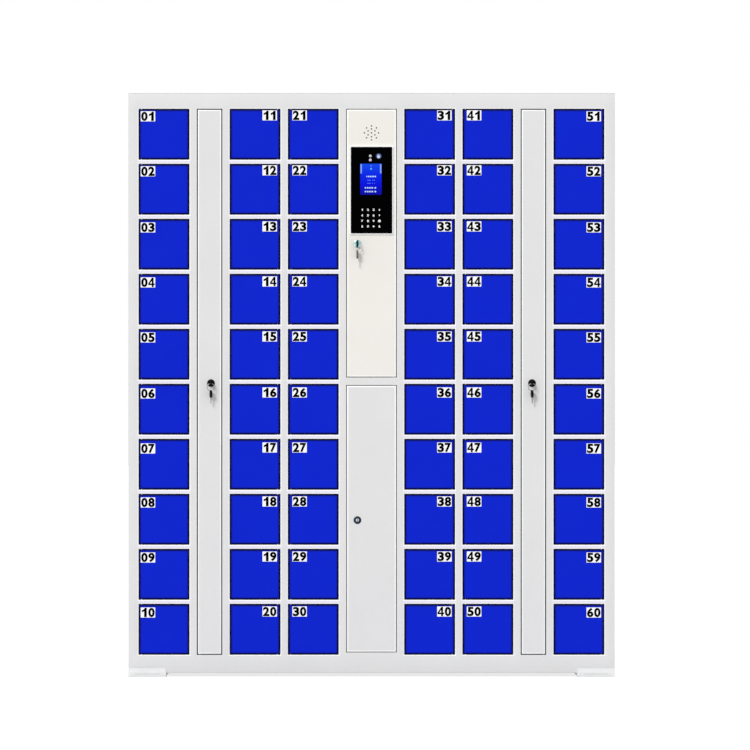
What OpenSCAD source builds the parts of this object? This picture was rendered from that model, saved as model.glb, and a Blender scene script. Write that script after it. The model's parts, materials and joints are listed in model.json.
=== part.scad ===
// Cell phone locker: sixty small doors in six columns, a control door with a
// touch terminal in the middle, and three more service doors with key locks.
// Millimetres, Z up. The origin is on the floor under the middle of the
// cabinet body, and the doors face -Y.

/* [Cabinet] */
// Depth of the cabinet body, from its front face to its back face
cabinet_d = 300; // [240:10:450]
// Width of the front frame at each outer side
edge_w = 32.3; // [28:0.1:60]
// Width of each upright between two openings
stile_w = 23.3; // [22:0.1:40]
// How far the uprights reach back past the closed doors
stile_lap = 4; // [3:0.5:8]
// Height of the frame above the top doors
header_h = 49; // [30:1:90]
// Height of the frame below the bottom doors
sill_h = 57.1; // [30:0.1:120]
// Height of each rail between two doors of a column
rail_h = 13.1; // [12:0.1:30]
// How far the rails reach back from the front face
rail_d = 12; // [9:0.5:18]
// Thickness of the outer panels and of the front frame
frame_t = 1.2; // [0.8:0.1:1.6]
// Thickness of the compartment walls and shelves
wall_t = 1; // [0.8:0.1:1.5]

/* [Openings] */
// Width of each small compartment opening
opening_w = 156.2; // [130:0.1:220]
// Height of each small compartment opening
opening_h = 156.5; // [120:0.5:220]
// Width of the two narrow service openings
service_w = 77.9; // [70:0.1:120]
// Width of the centre opening
centre_w = 156; // [145:1:240]
// Height of the opening behind the control door
control_opening_h = 828; // [600:2:1000]
// Height of the rail between the control door and the door below it
mid_rail_h = 23.5; // [16:0.5:60]
// Height of the threshold under the lower centre door
threshold_h = 7; // [5:0.5:20]

/* [Doors] */
// Gap between a closed door and its opening
door_gap = 2; // [1:0.1:3]
// Thickness of every door
door_t = 16; // [12:0.5:22]
// Sheet thickness of the small doors
door_sheet = 1; // [0.8:0.1:1.5]
// Sheet thickness of the four service doors
service_sheet = 1.2; // [1:0.1:2]
// Distance from the hinge edge of an opening to the pivot pins
pivot_inset = 9; // [8.5:0.5:14]
// Distance from the front face back to the pivot pins
pivot_depth = 4; // [4:0.1:4.5]
// Radius of the pivot pins
pivot_r = 1.75; // [1.25:0.05:2]
// Radial clearance of the pivot pins in their holes
pivot_clearance = 0.3; // [0.2:0.05:0.5]
// How far a pivot pin reaches past the sheet it turns in
pivot_grip = 2; // [1:0.1:2.5]

/* [Number plates] */
// Width of each number plate
plate_w = 46; // [30:1:60]
// Height of each number plate
plate_h = 32; // [20:1:45]
// Thickness of each number plate
plate_t = 0.4; // [0.2:0.1:1]
// Distance from the hinge edge of the door to its plate
plate_side = 8; // [6:0.5:20]
// Distance from the top edge of the door to its plate
plate_drop = 6; // [4:0.5:20]

/* [Electric locks] */
// Thickness of each electric lock
lock_case_w = 14; // [10:0.5:16]
// Depth of each electric lock, front to back
lock_case_d = 40; // [30:1:60]
// Height of each electric lock
lock_case_h = 36; // [24:1:50]
// Radius of the sliding bolt
bolt_r = 3; // [2:0.25:4]
// Radial clearance of the bolt in its holes
bolt_clearance = 0.3; // [0.2:0.05:0.5]
// Distance from the back of the closed door to the bolt
bolt_depth = 9; // [8:0.5:14]
// Length of the sliding bolt
bolt_l = 14; // [12:0.5:15]
// Thickness of the strike hook on the door
hook_t = 2; // [1.5:0.1:3]
// Distance from the lock edge of the opening to the strike hook
hook_inset = 5; // [4.5:0.5:6]
// Height of the arm of the strike hook
hook_arm_h = 5; // [3:0.5:8]
// Thickness of the tooth that the bolt holds
hook_tooth = 3.5; // [2:0.5:5]
// Free play between the bolt and the strike hook
hook_play = 0.5; // [0.3:0.1:1]

/* [Key locks] */
// Distance from the lock edge of the opening to the lock's axis
key_lock_inset = 34.5; // [28:0.5:36]
// Distance from the mid-height of the other service doors down to the axis of their locks
service_lock_drop = 4; // [0:1:60]
// Distance from the terminal's lower edge down to the axis of the control door's lock
control_lock_drop = 33; // [26:1:60]
// Radius of the front flange of a key lock
lock_flange_r = 12; // [9.5:0.25:13]
// Thickness of the front flange of a key lock
lock_flange_t = 2; // [1:0.25:3]
// Radius of the barrel through the door
barrel_r = 8; // [7.5:0.25:9]
// Radius of the turning plug
plug_r = 5; // [4.5:0.25:6]
// Radial clearance of the plug in its barrel
plug_clearance = 0.3; // [0.2:0.05:0.4]
// Distance across the lock nut's corners
nut_across = 25; // [22:0.5:28]
// Thickness of the lock nut
nut_t = 3; // [2:0.5:5]
// Width of the cam
cam_w = 14; // [11:0.5:16]
// Thickness of the cam
cam_t = 2; // [1.5:0.25:3]
// How far the cam reaches past the edge of the opening when locked
cam_hold = 6; // [3:0.5:8]
// Radius of a key's bow
bow_r = 11; // [10:0.5:12]
// Thickness of a key
key_t = 2.2; // [1.6:0.1:2.4]
// Width of a key's blade
key_blade_w = 7; // [5:0.5:7.5]
// Length of a key's blade
key_blade_l = 18; // [14:0.5:20]
// Length of the neck between the lock face and the bow
key_neck = 2; // [2:0.5:4]
// Radius of the key ring, to the middle of its wire
ring_r = 11.5; // [10:0.25:13]
// Radius of the key ring's wire
ring_wire_r = 0.9; // [0.6:0.1:1]
// Angle by which the hanging spare key is turned about its own length
spare_turn = 25; // [0:1:30]

/* [Control terminal] */
// Width of the terminal
terminal_w = 126; // [118:1:134]
// Height of the terminal
terminal_h = 265; // [240:1:300]
// Distance from the top of the opening to the terminal
terminal_drop = 118; // [110:1:140]
// How far the terminal stands out from the door
terminal_proud = 6; // [5:0.5:9]
// Corner radius of the terminal
terminal_corner = 4; // [2:0.5:8]
// How far the terminal reaches behind the door's front face
terminal_depth = 38; // [32:1:60]
// Width of the rim that rests on the door, all round
terminal_rim = 6; // [4:0.5:8]
// Wall thickness of the terminal housing
terminal_wall = 2; // [1.5:0.25:3]
// Thickness of the front glass
glass_t = 3; // [2:0.25:4]
// Width of the display module
display_w = 72; // [64:1:90]
// Height of the display module
display_h = 104; // [90:1:110]
// Thickness of the display module
display_t = 5; // [3:0.5:8]
// Distance from the top of the terminal to the display's middle
display_drop = 98.5; // [92:0.5:110]
// Radius of the camera barrel
camera_r = 9; // [7:0.25:10]
// Distance from the terminal's middle line to the camera
camera_side = 22.2; // [16:0.2:28]
// Distance from the top of the terminal to the camera's middle
camera_drop = 27.7; // [22:0.1:30]
// Length of the camera barrel
camera_l = 15; // [10:0.5:20]
// Radius of the speaker behind its holes
speaker_r = 33; // [28:0.5:38]
// Distance from the top of the opening to the speaker's middle
speaker_drop = 74; // [60:0.5:76]
// Radius of each speaker hole
speaker_hole_r = 2.6; // [1.5:0.1:3.5]
// Radius of the inner ring of six speaker holes
speaker_ring_1 = 12; // [10:0.5:13]
// Radius of the outer ring of eight speaker holes
speaker_ring_2 = 21.6; // [20:0.2:24]

/* [Power and wiring] */
// Width of each lock controller board
board_w = 60; // [40:1:66]
// Height of each lock controller board
board_h = 190; // [120:5:240]
// Width and depth of each wiring duct
duct_w = 25; // [15:1:28]
// Width of the power supply
supply_w = 98; // [80:1:120]
// Height of the power supply
supply_h = 160; // [120:1:200]
// Depth of the power supply
supply_d = 38; // [30:1:50]
// Height of the power inlet above the compartments' lowest edge
inlet_rise = 84; // [60:1:120]

/* [Feet and fixings] */
// Height of the feet below the body
foot_h = 11; // [6:0.5:30]
// Width of each foot
foot_w = 117; // [80:1:160]
// Length of each foot, front to back
foot_l = 60; // [40:1:100]
// Full height of the foot's front lip, from the floor
foot_lip_h = 27; // [16:0.5:50]
// Thickness of the foot's front lip
foot_lip_t = 1.5; // [1:0.25:3]
// Radius of the four wall fixing holes in the back panel
wall_hole_r = 4.5; // [3:0.25:6]

/* [Hidden] */
$fn = 48;

// Clearance that keeps two pieces of one node apart where they are glued or welded
weld_gap = 0.05;
// Clearance round parts that are pushed into a hole and stay there
seat_gap = 0.15;
rows = 10;
// Rows whose doors are nodes of their own; the doors below them share one node
single_rows = 3;

// Openings from left to right
layout = ["column", "service", "column", "column", "centre", "column", "column", "service", "column"];
last = len(layout) - 1;
columns = [for (i = [0:last]) if (layout[i] == "column") i];
services = [for (i = [0:last]) if (layout[i] == "service") i];
centre = [for (i = [0:last]) if (layout[i] == "centre") i][0];
// How far each column's hand-applied number plates sit inwards and up from their nominal place
plate_shift = [-4.8, -0.3, 2.5, -0.5, 2.2, -0.8];
plate_lift = [0, 3, 3, 3, 3, 0];

function width(i) = layout[i] == "column" ? opening_w : layout[i] == "service" ? service_w : centre_w;
function left_x(i) = i == 0 ? -cabinet_w / 2 + edge_w : left_x(i - 1) + width(i - 1) + stile_w;
function sum(list, i = 0) = i == len(list) ? 0 : list[i] + sum(list, i + 1);
function row_z(k) = low_z + (rows - 1 - k) * (opening_h + rail_h);
// Columns 1, 3 and 5 hinge at their left edge, columns 2, 4 and 6 at their right edge
function hinge_right(c) = c % 2 == 1;

cabinet_w = 2 * edge_w + sum([for (i = [0:last]) width(i)]) + last * stile_w;
front_y = -cabinet_d / 2;
back_y = cabinet_d / 2;
low_z = foot_h + sill_h;
high_z = low_z + rows * opening_h + (rows - 1) * rail_h;
body_h = high_z + header_h - foot_h;
inner_h = body_h - 2 * frame_t;
stile_d = door_t + stile_lap;
lower_z = low_z + threshold_h;
control_z = high_z - control_opening_h;
lower_opening_h = control_z - mid_rail_h - lower_z;
full_opening_h = high_z - low_z;
// Heights of the key locks above the lower edge of their openings
service_lock_rise = full_opening_h / 2 - service_lock_drop;
lower_lock_rise = lower_opening_h / 2 - service_lock_drop;
pivot_hole_r = pivot_r + pivot_clearance;
bolt_hole_r = bolt_r + bolt_clearance;
lock_rise = opening_h / 2;
bolt_y = front_y + door_t + bolt_depth;
hook_back = bolt_depth + bolt_r + hook_play + hook_tooth;
// Cam lock lengths behind the door's front face: the cam turns just behind the uprights
barrel_l = stile_d + plug_clearance;
cam_y = barrel_l + 2 * plug_clearance;
cam_l = key_lock_inset + cam_hold;
slot_gap = 0.1;
key_slot_l = key_blade_l - 4;
bow_hole_r = 2.8;
// Clearance of the key ring in the holes of its keys
ring_play = 0.4;
cam_screw_r = 4;
cam_screw_t = 2.5;
terminal_top = high_z - terminal_drop;
// Size of the terminal's body behind its rim
terminal_body_w = terminal_w - 2 * terminal_rim;
terminal_body_h = terminal_h - 2 * terminal_rim;
// Margin between the terminal's board and the terminal's body, all round
board_margin = 10;
housing_front = glass_t - terminal_proud;
speaker_rim_t = 3;
speaker_rim_w = 4;
speaker_cone_l = 9;
magnet_r = speaker_r / 2;
magnet_t = 9;
corner_r = min(terminal_corner, terminal_rim);
control_lock_rise = terminal_top - terminal_h - control_lock_drop - control_z;
foot_corner = 5;
standoff_r = 3;
standoff_l = 8;
strip_margin = 12;
pcb_t = 1.6;
supply_step_d = 18;
supply_step_h = 19;
inlet_w = 27;
inlet_h = 47;
inlet_rim = 3;
inlet_rim_t = 3;
inlet_d = 28;
socket_w = 24.5;
socket_h = 17;
socket_d = 16;
contact_l = 10;
contact_w = 2;
contact_h = 4;
contact_pitch = 7;
board_z = low_z + 0.6 * full_opening_h;
board_gap = 2;
duct_end = 20;
duct_z = low_z + duct_end;
duct_h = full_opening_h - 2 * duct_end;
fixing_x = left_x(columns[5]) + opening_w / 2;
frame_grey = "gainsboro";
wall_grey = "silver";
door_blue = "mediumblue";
lock_black = "#1c1c20";

module side_panels()
    color(frame_grey)
    for (side = [0, 1])
        mirror([side, 0, 0])
        translate([-cabinet_w / 2, front_y, foot_h + frame_t])
        linear_extrude(inner_h) {
            square([frame_t, cabinet_d]);
            square([edge_w, frame_t]);
            translate([edge_w - frame_t, 0])
                square([frame_t, stile_d]);
        }

module flat_panel(z)
    color(frame_grey)
    translate([-cabinet_w / 2, front_y, z])
    cube([cabinet_w, cabinet_d, frame_t]);

module top_panel()
    flat_panel(high_z + header_h - frame_t);

module base_panel()
    flat_panel(foot_h);

module back_panel()
    color(frame_grey)
    difference() {
        translate([-cabinet_w / 2 + frame_t, back_y - frame_t, foot_h + frame_t])
            cube([cabinet_w - 2 * frame_t, frame_t, inner_h]);
        for (x = [-fixing_x, fixing_x], k = [0, rows - 1])
            translate([x, back_y, row_z(k) + opening_h / 2])
            rotate([90, 0, 0])
                cylinder(h = 4 * frame_t, r = wall_hole_r, center = true);
        translate([0, back_y, low_z + inlet_rise])
            cube([inlet_w + 2 * seat_gap, 4 * frame_t, inlet_h + 2 * seat_gap], center = true);
    }

// Folded uprights of the front frame, open at the back
module stiles()
    color(frame_grey)
    for (i = [0:last - 1])
        translate([left_x(i) + width(i), front_y, low_z])
        linear_extrude(full_opening_h) {
            square([stile_w, frame_t]);
            for (x = [0, stile_w - frame_t])
                translate([x, 0])
                square([frame_t, stile_d]);
        }

// One folded rail, open at the back, from the corner of its front face
module rail(w, h, z)
    translate([0, front_y, z])
    difference() {
        cube([w, rail_d, h]);
        translate([-1, frame_t, frame_t])
            cube([w + 2, rail_d, h - 2 * frame_t]);
    }

// Holes for the pivot pins above and below the edge at height z
module pivot_hole(x, z)
    translate([x, front_y + pivot_depth, z])
    cylinder(h = 3 * frame_t, r = pivot_hole_r, center = true);

function pivot_x(i, right) = left_x(i) + (right ? width(i) - pivot_inset : pivot_inset);
function column_pivot(c) = pivot_x(columns[c], hinge_right(c));

module rails()
    color(frame_grey) {
        for (c = [0:5], k = [1:rows - 1])
            difference() {
                translate([left_x(columns[c]), 0, 0])
                    rail(opening_w, rail_h, row_z(k) + opening_h);
                for (z = [row_z(k) + opening_h, row_z(k - 1)])
                    pivot_hole(column_pivot(c), z);
            }
        for (z = [low_z, high_z])
            difference() {
                translate([left_x(0), 0, 0])
                    rail(-2 * left_x(0), z == high_z ? header_h - frame_t : sill_h - frame_t,
                         z == high_z ? z : foot_h + frame_t);
                for (c = [0:5])
                    pivot_hole(column_pivot(c), z);
                for (s = [0, 1])
                    pivot_hole(pivot_x(services[s], s == 1), z);
                pivot_hole(pivot_x(centre, true), z);
            }
        // threshold under the lower centre door
        difference() {
            translate([left_x(centre), 0, 0])
                rail(centre_w, threshold_h, low_z);
            pivot_hole(pivot_x(centre, true), lower_z);
            pivot_hole(pivot_x(centre, true), low_z);
        }
    }

module at_bolt(c, k)
    translate([left_x(columns[c]) + (hinge_right(c) ? 0 : opening_w), bolt_y, row_z(k) + lock_rise])
    rotate([0, hinge_right(c) ? -90 : 90, 0])
    children();

module walls()
    color(wall_grey)
    for (c = [0:5], side = [0, 1])
        difference() {
            translate([left_x(columns[c]) + (side == 0 ? -wall_t : opening_w),
                       front_y + stile_d, low_z - wall_t])
                cube([wall_t, cabinet_d - stile_d - frame_t, full_opening_h + 2 * wall_t]);
            if ((side == 0) == hinge_right(c))
                for (k = [0:rows - 1])
                    at_bolt(c, k)
                    cylinder(h = 4 * wall_t, r = bolt_hole_r, center = true);
        }

// The shelves, and the ceiling and the floor of each column
module shelves()
    color(wall_grey)
    for (c = [0:5], k = [-1:rows - 1])
        translate([left_x(columns[c]), front_y + rail_d, k < 0 ? high_z : row_z(k) - wall_t])
        cube([opening_w, cabinet_d - rail_d - frame_t, wall_t]);

module centre_shelf()
    color(frame_grey) {
        x = left_x(centre);
        z = control_z - mid_rail_h;
        difference() {
            translate([x, 0, 0])
                rail(centre_w, mid_rail_h, z);
            for (edge = [z, control_z])
                pivot_hole(pivot_x(centre, true), edge);
        }
        translate([x, front_y + rail_d - frame_t, control_z - frame_t])
            cube([centre_w, cabinet_d - rail_d, frame_t]);
        translate([x - stile_w + wall_t, front_y + stile_d, control_z - frame_t])
            cube([centre_w + 2 * (stile_w - wall_t), cabinet_d - stile_d - frame_t, frame_t]);
    }

module feet()
    color("white")
    for (side = [0, 1], end = [0, 1])
        mirror([side, 0, 0])
        mirror([0, end, 0])
        translate([-cabinet_w / 2, front_y, 0]) {
            cube([foot_w, foot_l, foot_h]);
            // the front feet have a lip that laps the sill
            if (end == 0)
                rotate([90, 0, 0])
                linear_extrude(foot_lip_t)
                polygon([[0, 0], [foot_w, 0], [foot_w, foot_lip_h - foot_corner],
                         [foot_w - foot_corner, foot_lip_h], [0, foot_lip_h]]);
        }

module lock_cases()
    color("dimgray")
    for (c = [0:5], k = [0:rows - 1])
        at_bolt(c, k)
        difference() {
            translate([-lock_case_h / 2, stile_lap - bolt_depth + 1, wall_t])
                cube([lock_case_h, lock_case_d, lock_case_w]);
            cylinder(h = 3 * lock_case_w, r = bolt_hole_r, center = true);
        }

// The bolts are drawn back level with the compartment walls
module bolts(right)
    color("lightsteelblue")
    for (c = [0:5], k = [0:rows - 1])
        if (hinge_right(c) == right)
            at_bolt(c, k)
            cylinder(h = bolt_l, r = bolt_r);

module bolts_left_facing()
    bolts(false);

module bolts_right_facing()
    bolts(true);

// A circuit board on four standoffs, with a connector strip along each long edge
module board(w, h, standoff) {
    cube([w, pcb_t, h], center = true);
    for (x = [-1, 1], z = [-1, 1])
        translate([x * (w / 2 - 2 * standoff_r), pcb_t / 2, z * (h / 2 - 2 * standoff_r)])
        rotate([-90, 0, 0])
            cylinder(h = standoff - pcb_t, r = standoff_r);
    for (x = [-1, 1])
        translate([x * (w / 2 - standoff_l / 2), -standoff_l / 2, 0])
            cube([standoff_l, standoff_l, h - 2 * strip_margin], center = true);
}

// Middle of each service space, left to right
function bay_x(b) = b == 1 ? 0 : left_x(services[b / 2]) + service_w / 2;

module lock_boards()
    color("darkgreen")
    for (b = [0:2])
        translate([bay_x(b) + duct_w / 2 + board_gap, back_y - frame_t - standoff_l + pcb_t / 2, board_z])
        board(board_w, board_h, standoff_l);

module wiring_ducts()
    color("lightgray")
    for (b = [0, 2])
        translate([bay_x(b) - board_w / 2 - duct_w / 2 - board_gap, back_y - frame_t - duct_w, duct_z])
        difference() {
            cube([duct_w, duct_w, duct_h]);
            translate([wall_t, wall_t, -1])
                cube([duct_w - 2 * wall_t, duct_w - 2 * wall_t, duct_h + 2]);
        }

module power_supply()
    color("lightslategray")
    translate([-supply_w / 2, back_y - frame_t - supply_d, low_z + inlet_rise + inlet_h])
    difference() {
        cube([supply_w, supply_d, supply_h]);
        // step for the terminal strip
        translate([-1, -1, -1])
            cube([supply_w + 2, supply_step_d + 1, supply_step_h + 1]);
    }

module power_inlet()
    color("black")
    translate([0, back_y, low_z + inlet_rise]) {
        difference() {
            union() {
                translate([-inlet_w / 2, -inlet_d, -inlet_h / 2])
                    cube([inlet_w, inlet_d, inlet_h]);
                translate([-inlet_w / 2 - inlet_rim, 0, -inlet_h / 2 - inlet_rim])
                    cube([inlet_w + 2 * inlet_rim, inlet_rim_t, inlet_h + 2 * inlet_rim]);
            }
            translate([-socket_w / 2, inlet_rim_t - socket_d, -socket_h / 2])
                cube([socket_w, socket_d + 1, socket_h]);
        }
        for (n = [-1, 0, 1])
            translate([n * contact_pitch - contact_w / 2, inlet_rim_t - socket_d - 1,
                       n == 0 ? 0 : -contact_h])
            cube([contact_w, contact_l, contact_h]);
    }

// Moves what is drawn from the hinge edge of opening i, at the front face, with
// X running towards the lock edge
module from_hinge(i, z, right)
    translate([left_x(i) + (right ? width(i) : 0), front_y, z])
    if (right)
        mirror([1, 0, 0]) children();
    else
        children();

module pivot_pins(h)
    for (z = [-frame_t - pivot_grip, h - door_gap])
        translate([pivot_inset, pivot_depth, z])
        cylinder(h = door_gap + frame_t + pivot_grip, r = pivot_r);

// Strike hook on the back of a small door: an arm above the bolt and a tooth behind it
module strike_hook()
    translate([opening_w - hook_inset - hook_t, door_t, lock_rise])
    rotate([90, 0, 90])
    linear_extrude(hook_t) {
        translate([weld_gap, bolt_r + hook_play])
            square([hook_back - weld_gap, hook_arm_h]);
        translate([hook_back - hook_tooth, -bolt_r])
            square([hook_tooth, 2 * bolt_r + hook_play + hook_arm_h]);
    }

// One small door: a closed sheet box on its pivot pins, its strike hook and its number plate
module small_door(c, k)
    from_hinge(columns[c], row_z(k), hinge_right(c)) {
        color(door_blue) {
            difference() {
                translate([door_gap, 0, door_gap])
                    cube([opening_w - 2 * door_gap, door_t, opening_h - 2 * door_gap]);
                translate([door_gap + door_sheet, door_sheet, door_gap + door_sheet])
                    cube([opening_w - 2 * (door_gap + door_sheet), door_t - 2 * door_sheet,
                          opening_h - 2 * (door_gap + door_sheet)]);
            }
            pivot_pins(opening_h);
            strike_hook();
        }
        color("white")
            translate([door_gap + plate_side + plate_shift[c], -weld_gap - plate_t,
                       opening_h - door_gap - plate_drop + plate_lift[c] - plate_h])
            cube([plate_w, plate_t, plate_h]);
    }

module small_doors(c, first, final)
    for (k = [first:final])
        small_door(c, k);

// Lock axis of a service door, on its front face, with X towards the lock edge
module at_lock(w, rise)
    translate([w - key_lock_inset, 0, rise])
    children();

// A service door: an open-backed pan on its pivot pins, bored for its key lock
module service_pan(w, h, rise)
    difference() {
        union() {
            difference() {
                translate([door_gap, 0, door_gap])
                    cube([w - 2 * door_gap, door_t, h - 2 * door_gap]);
                translate([door_gap + service_sheet, service_sheet, door_gap + service_sheet])
                    cube([w - 2 * (door_gap + service_sheet), door_t,
                          h - 2 * (door_gap + service_sheet)]);
            }
            pivot_pins(h);
        }
        at_lock(w, rise)
            rotate([-90, 0, 0])
            cylinder(h = 4 * service_sheet, r = barrel_r + seat_gap, center = true);
    }

module along_y(y)
    translate([0, y, 0])
    rotate([-90, 0, 0])
    children();

// Fixed part of a key lock: the flanged barrel and the nut behind the door's sheet
module lock_barrel(w, rise)
    at_lock(w, rise) {
        difference() {
            union() {
                along_y(-lock_flange_t)
                    cylinder(h = lock_flange_t, r = lock_flange_r);
                along_y(0)
                    cylinder(h = barrel_l, r = barrel_r);
            }
            along_y(-lock_flange_t - 1)
                cylinder(h = barrel_l + lock_flange_t + 2, r = plug_r + plug_clearance);
        }
        difference() {
            along_y(service_sheet + weld_gap)
                cylinder(h = nut_t, r = nut_across / 2, $fn = 6);
            along_y(0)
                cylinder(h = barrel_l, r = barrel_r + seat_gap);
        }
    }

// Turning part of a key lock: the plug and its cam, which points down when unlocked
module lock_plug() {
    difference() {
        along_y(-lock_flange_t)
            cylinder(h = cam_y + lock_flange_t - weld_gap, r = plug_r);
        translate([-key_t / 2 - slot_gap, -lock_flange_t - 1, -key_blade_w / 2 - slot_gap])
            cube([key_t + 2 * slot_gap, key_slot_l + 1, key_blade_w + 2 * slot_gap]);
    }
    along_y(cam_y)
        linear_extrude(cam_t) {
            circle(r = cam_w / 2);
            translate([-cam_w / 2, 0])
                square([cam_w, cam_l - cam_w / 4]);
            translate([-cam_w / 4, 0])
                square([cam_w / 2, cam_l]);
        }
    along_y(cam_y + cam_t + weld_gap)
        cylinder(h = cam_screw_t, r = cam_screw_r);
}

// A flat key in the YZ plane, its bow round the origin and its blade along +Y. Its
// ring hole lies back from the bow's middle
module key(blade, hole_back)
    rotate([0, -90, 0])
    translate([0, 0, -key_t / 2])
    linear_extrude(key_t)
    difference() {
        union() {
            circle(r = bow_r);
            translate([-key_blade_w / 2, 0])
                square([key_blade_w, bow_r + blade]);
        }
        translate([0, -hole_back])
            circle(r = bow_hole_r);
    }

// The key in the lock, its ring, and the spare key that hangs from the ring
module key_set() {
    bow_y = -lock_flange_t - key_neck - bow_r;
    // how far the ring sags in a key's hole until it rests on the edge
    sag = bow_hole_r - ring_wire_r - ring_play;
    spare_rise = bow_r - bow_hole_r - ring_wire_r;
    translate([0, bow_y, 0])
        key(key_neck + key_slot_l - slot_gap, 0);
    translate([0, bow_y, -sag - ring_r])
        rotate([90, 0, 0])
        rotate_extrude()
        translate([ring_r, 0])
            circle(r = ring_wire_r);
    translate([0, bow_y, -2 * (sag + ring_r) - spare_rise])
        rotate([-90, 0, spare_turn])
        key(key_blade_l, spare_rise);
}

module left_service_door()
    color(frame_grey)
    from_hinge(services[0], low_z, false)
    service_pan(service_w, full_opening_h, service_lock_rise);

module left_lock()
    color(lock_black)
    from_hinge(services[0], low_z, false)
    lock_barrel(service_w, service_lock_rise);

module left_key()
    color(lock_black)
    from_hinge(services[0], low_z, false)
    at_lock(service_w, service_lock_rise) {
        lock_plug();
        key_set();
    }

module right_service_door()
    color(frame_grey)
    from_hinge(services[1], low_z, true)
    service_pan(service_w, full_opening_h, service_lock_rise);

module right_lock()
    color(lock_black)
    from_hinge(services[1], low_z, true)
    lock_barrel(service_w, service_lock_rise);

module right_key()
    color(lock_black)
    from_hinge(services[1], low_z, true)
    at_lock(service_w, service_lock_rise) {
        lock_plug();
        key_set();
    }

module at_terminal()
    translate([left_x(centre) + centre_w / 2, front_y, terminal_top - terminal_h / 2])
    children();

module speaker_holes() {
    cylinder(h = 4 * service_sheet, r = speaker_hole_r, center = true);
    for (n = [0:5])
        rotate(60 * n + 30)
        translate([speaker_ring_1, 0])
        cylinder(h = 4 * service_sheet, r = speaker_hole_r, center = true);
    for (n = [0:7])
        rotate(45 * n)
        translate([speaker_ring_2, 0])
        cylinder(h = 4 * service_sheet, r = speaker_hole_r, center = true);
}

module at_speaker()
    translate([left_x(centre) + centre_w / 2, front_y, high_z - speaker_drop])
    rotate([-90, 0, 0])
    children();

module control_door()
    color("linen")
    difference() {
        from_hinge(centre, control_z, true)
            service_pan(centre_w, control_opening_h, control_lock_rise);
        at_terminal()
            cube([terminal_body_w + 2 * seat_gap, 4 * service_sheet,
                  terminal_body_h + 2 * seat_gap], center = true);
        at_speaker()
            speaker_holes();
    }

module control_lock()
    color("cadetblue")
    from_hinge(centre, control_z, true)
    lock_barrel(centre_w, control_lock_rise);

module control_key()
    color("slategray")
    from_hinge(centre, control_z, true)
    at_lock(centre_w, control_lock_rise) {
        lock_plug();
        key_set();
    }

// A plate in the XZ plane with round corners, its front at height y
module rounded_plate(w, h, t, y)
    translate([0, y, 0])
    rotate([-90, 0, 0])
    linear_extrude(t) {
        square([w - 2 * corner_r, h], center = true);
        square([w, h - 2 * corner_r], center = true);
        for (x = [-1, 1], z = [-1, 1])
            translate([x * (w / 2 - corner_r), z * (h / 2 - corner_r)])
            circle(r = corner_r);
    }

module terminal_housing()
    color("#101014")
    at_terminal()
    difference() {
        union() {
            rounded_plate(terminal_w, terminal_h, -housing_front, housing_front);
            translate([-terminal_body_w / 2, -weld_gap, -terminal_body_h / 2])
                cube([terminal_body_w, terminal_depth + weld_gap, terminal_body_h]);
        }
        translate([-terminal_body_w / 2 + terminal_wall, housing_front - 1,
                   -terminal_body_h / 2 + terminal_wall])
            cube([terminal_body_w - 2 * terminal_wall,
                  terminal_depth - terminal_wall - housing_front + 1,
                  terminal_body_h - 2 * terminal_wall]);
    }

module at_camera()
    at_terminal()
    translate([camera_side, 0, terminal_h / 2 - camera_drop])
    children();

module terminal_glass()
    color("#08080a")
    difference() {
        at_terminal()
            rounded_plate(terminal_w, terminal_h, glass_t, -terminal_proud);
        at_camera()
            along_y(-terminal_proud - 1)
            cylinder(h = glass_t + 2, r = camera_r + seat_gap);
    }

module display()
    color("royalblue")
    at_terminal()
    translate([-display_w / 2, housing_front, terminal_h / 2 - display_drop - display_h / 2])
    cube([display_w, display_t, display_h]);

module terminal_board()
    color("darkgreen")
    at_terminal()
    translate([0, terminal_depth - terminal_wall - standoff_l + pcb_t / 2, 0])
    board(terminal_body_w - 2 * board_margin, terminal_body_h - 2 * board_margin, standoff_l);

module camera()
    color("lightsteelblue")
    at_camera()
    along_y(-terminal_proud - seat_gap)
    cylinder(h = camera_l, r = camera_r);

module speaker()
    color("#303036")
    at_speaker() {
        translate([0, 0, service_sheet])
            cylinder(h = speaker_rim_t, r = speaker_r);
        translate([0, 0, service_sheet + speaker_rim_t])
            cylinder(h = speaker_cone_l, r1 = speaker_r - speaker_rim_w, r2 = magnet_r);
        translate([0, 0, service_sheet + speaker_rim_t + speaker_cone_l])
            cylinder(h = magnet_t, r = magnet_r);
    }

module lower_door()
    color(frame_grey)
    from_hinge(centre, lower_z, true)
    service_pan(centre_w, lower_opening_h, lower_lock_rise);

module lower_lock()
    color("#30363c")
    from_hinge(centre, lower_z, true)
    lock_barrel(centre_w, lower_lock_rise);

module lower_plug()
    color("slategray")
    from_hinge(centre, lower_z, true)
    at_lock(centre_w, lower_lock_rise)
    lock_plug();

side_panels();
top_panel();
base_panel();
back_panel();
stiles();
rails();
walls();
shelves();
centre_shelf();
feet();
lock_cases();
bolts_left_facing();
bolts_right_facing();
lock_boards();
wiring_ducts();
power_supply();
power_inlet();
small_door(0, 0);  // door_01
small_door(0, 1);  // door_02
small_door(0, 2);  // door_03
small_doors(0, single_rows, rows - 1);  // doors_04_to_10
small_door(1, 0);  // door_11
small_door(1, 1);  // door_12
small_door(1, 2);  // door_13
small_doors(1, single_rows, rows - 1);  // doors_14_to_20
small_door(2, 0);  // door_21
small_door(2, 1);  // door_22
small_door(2, 2);  // door_23
small_doors(2, single_rows, rows - 1);  // doors_24_to_30
small_door(3, 0);  // door_31
small_door(3, 1);  // door_32
small_door(3, 2);  // door_33
small_doors(3, single_rows, rows - 1);  // doors_34_to_40
small_door(4, 0);  // door_41
small_door(4, 1);  // door_42
small_door(4, 2);  // door_43
small_doors(4, single_rows, rows - 1);  // doors_44_to_50
small_door(5, 0);  // door_51
small_door(5, 1);  // door_52
small_door(5, 2);  // door_53
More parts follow.
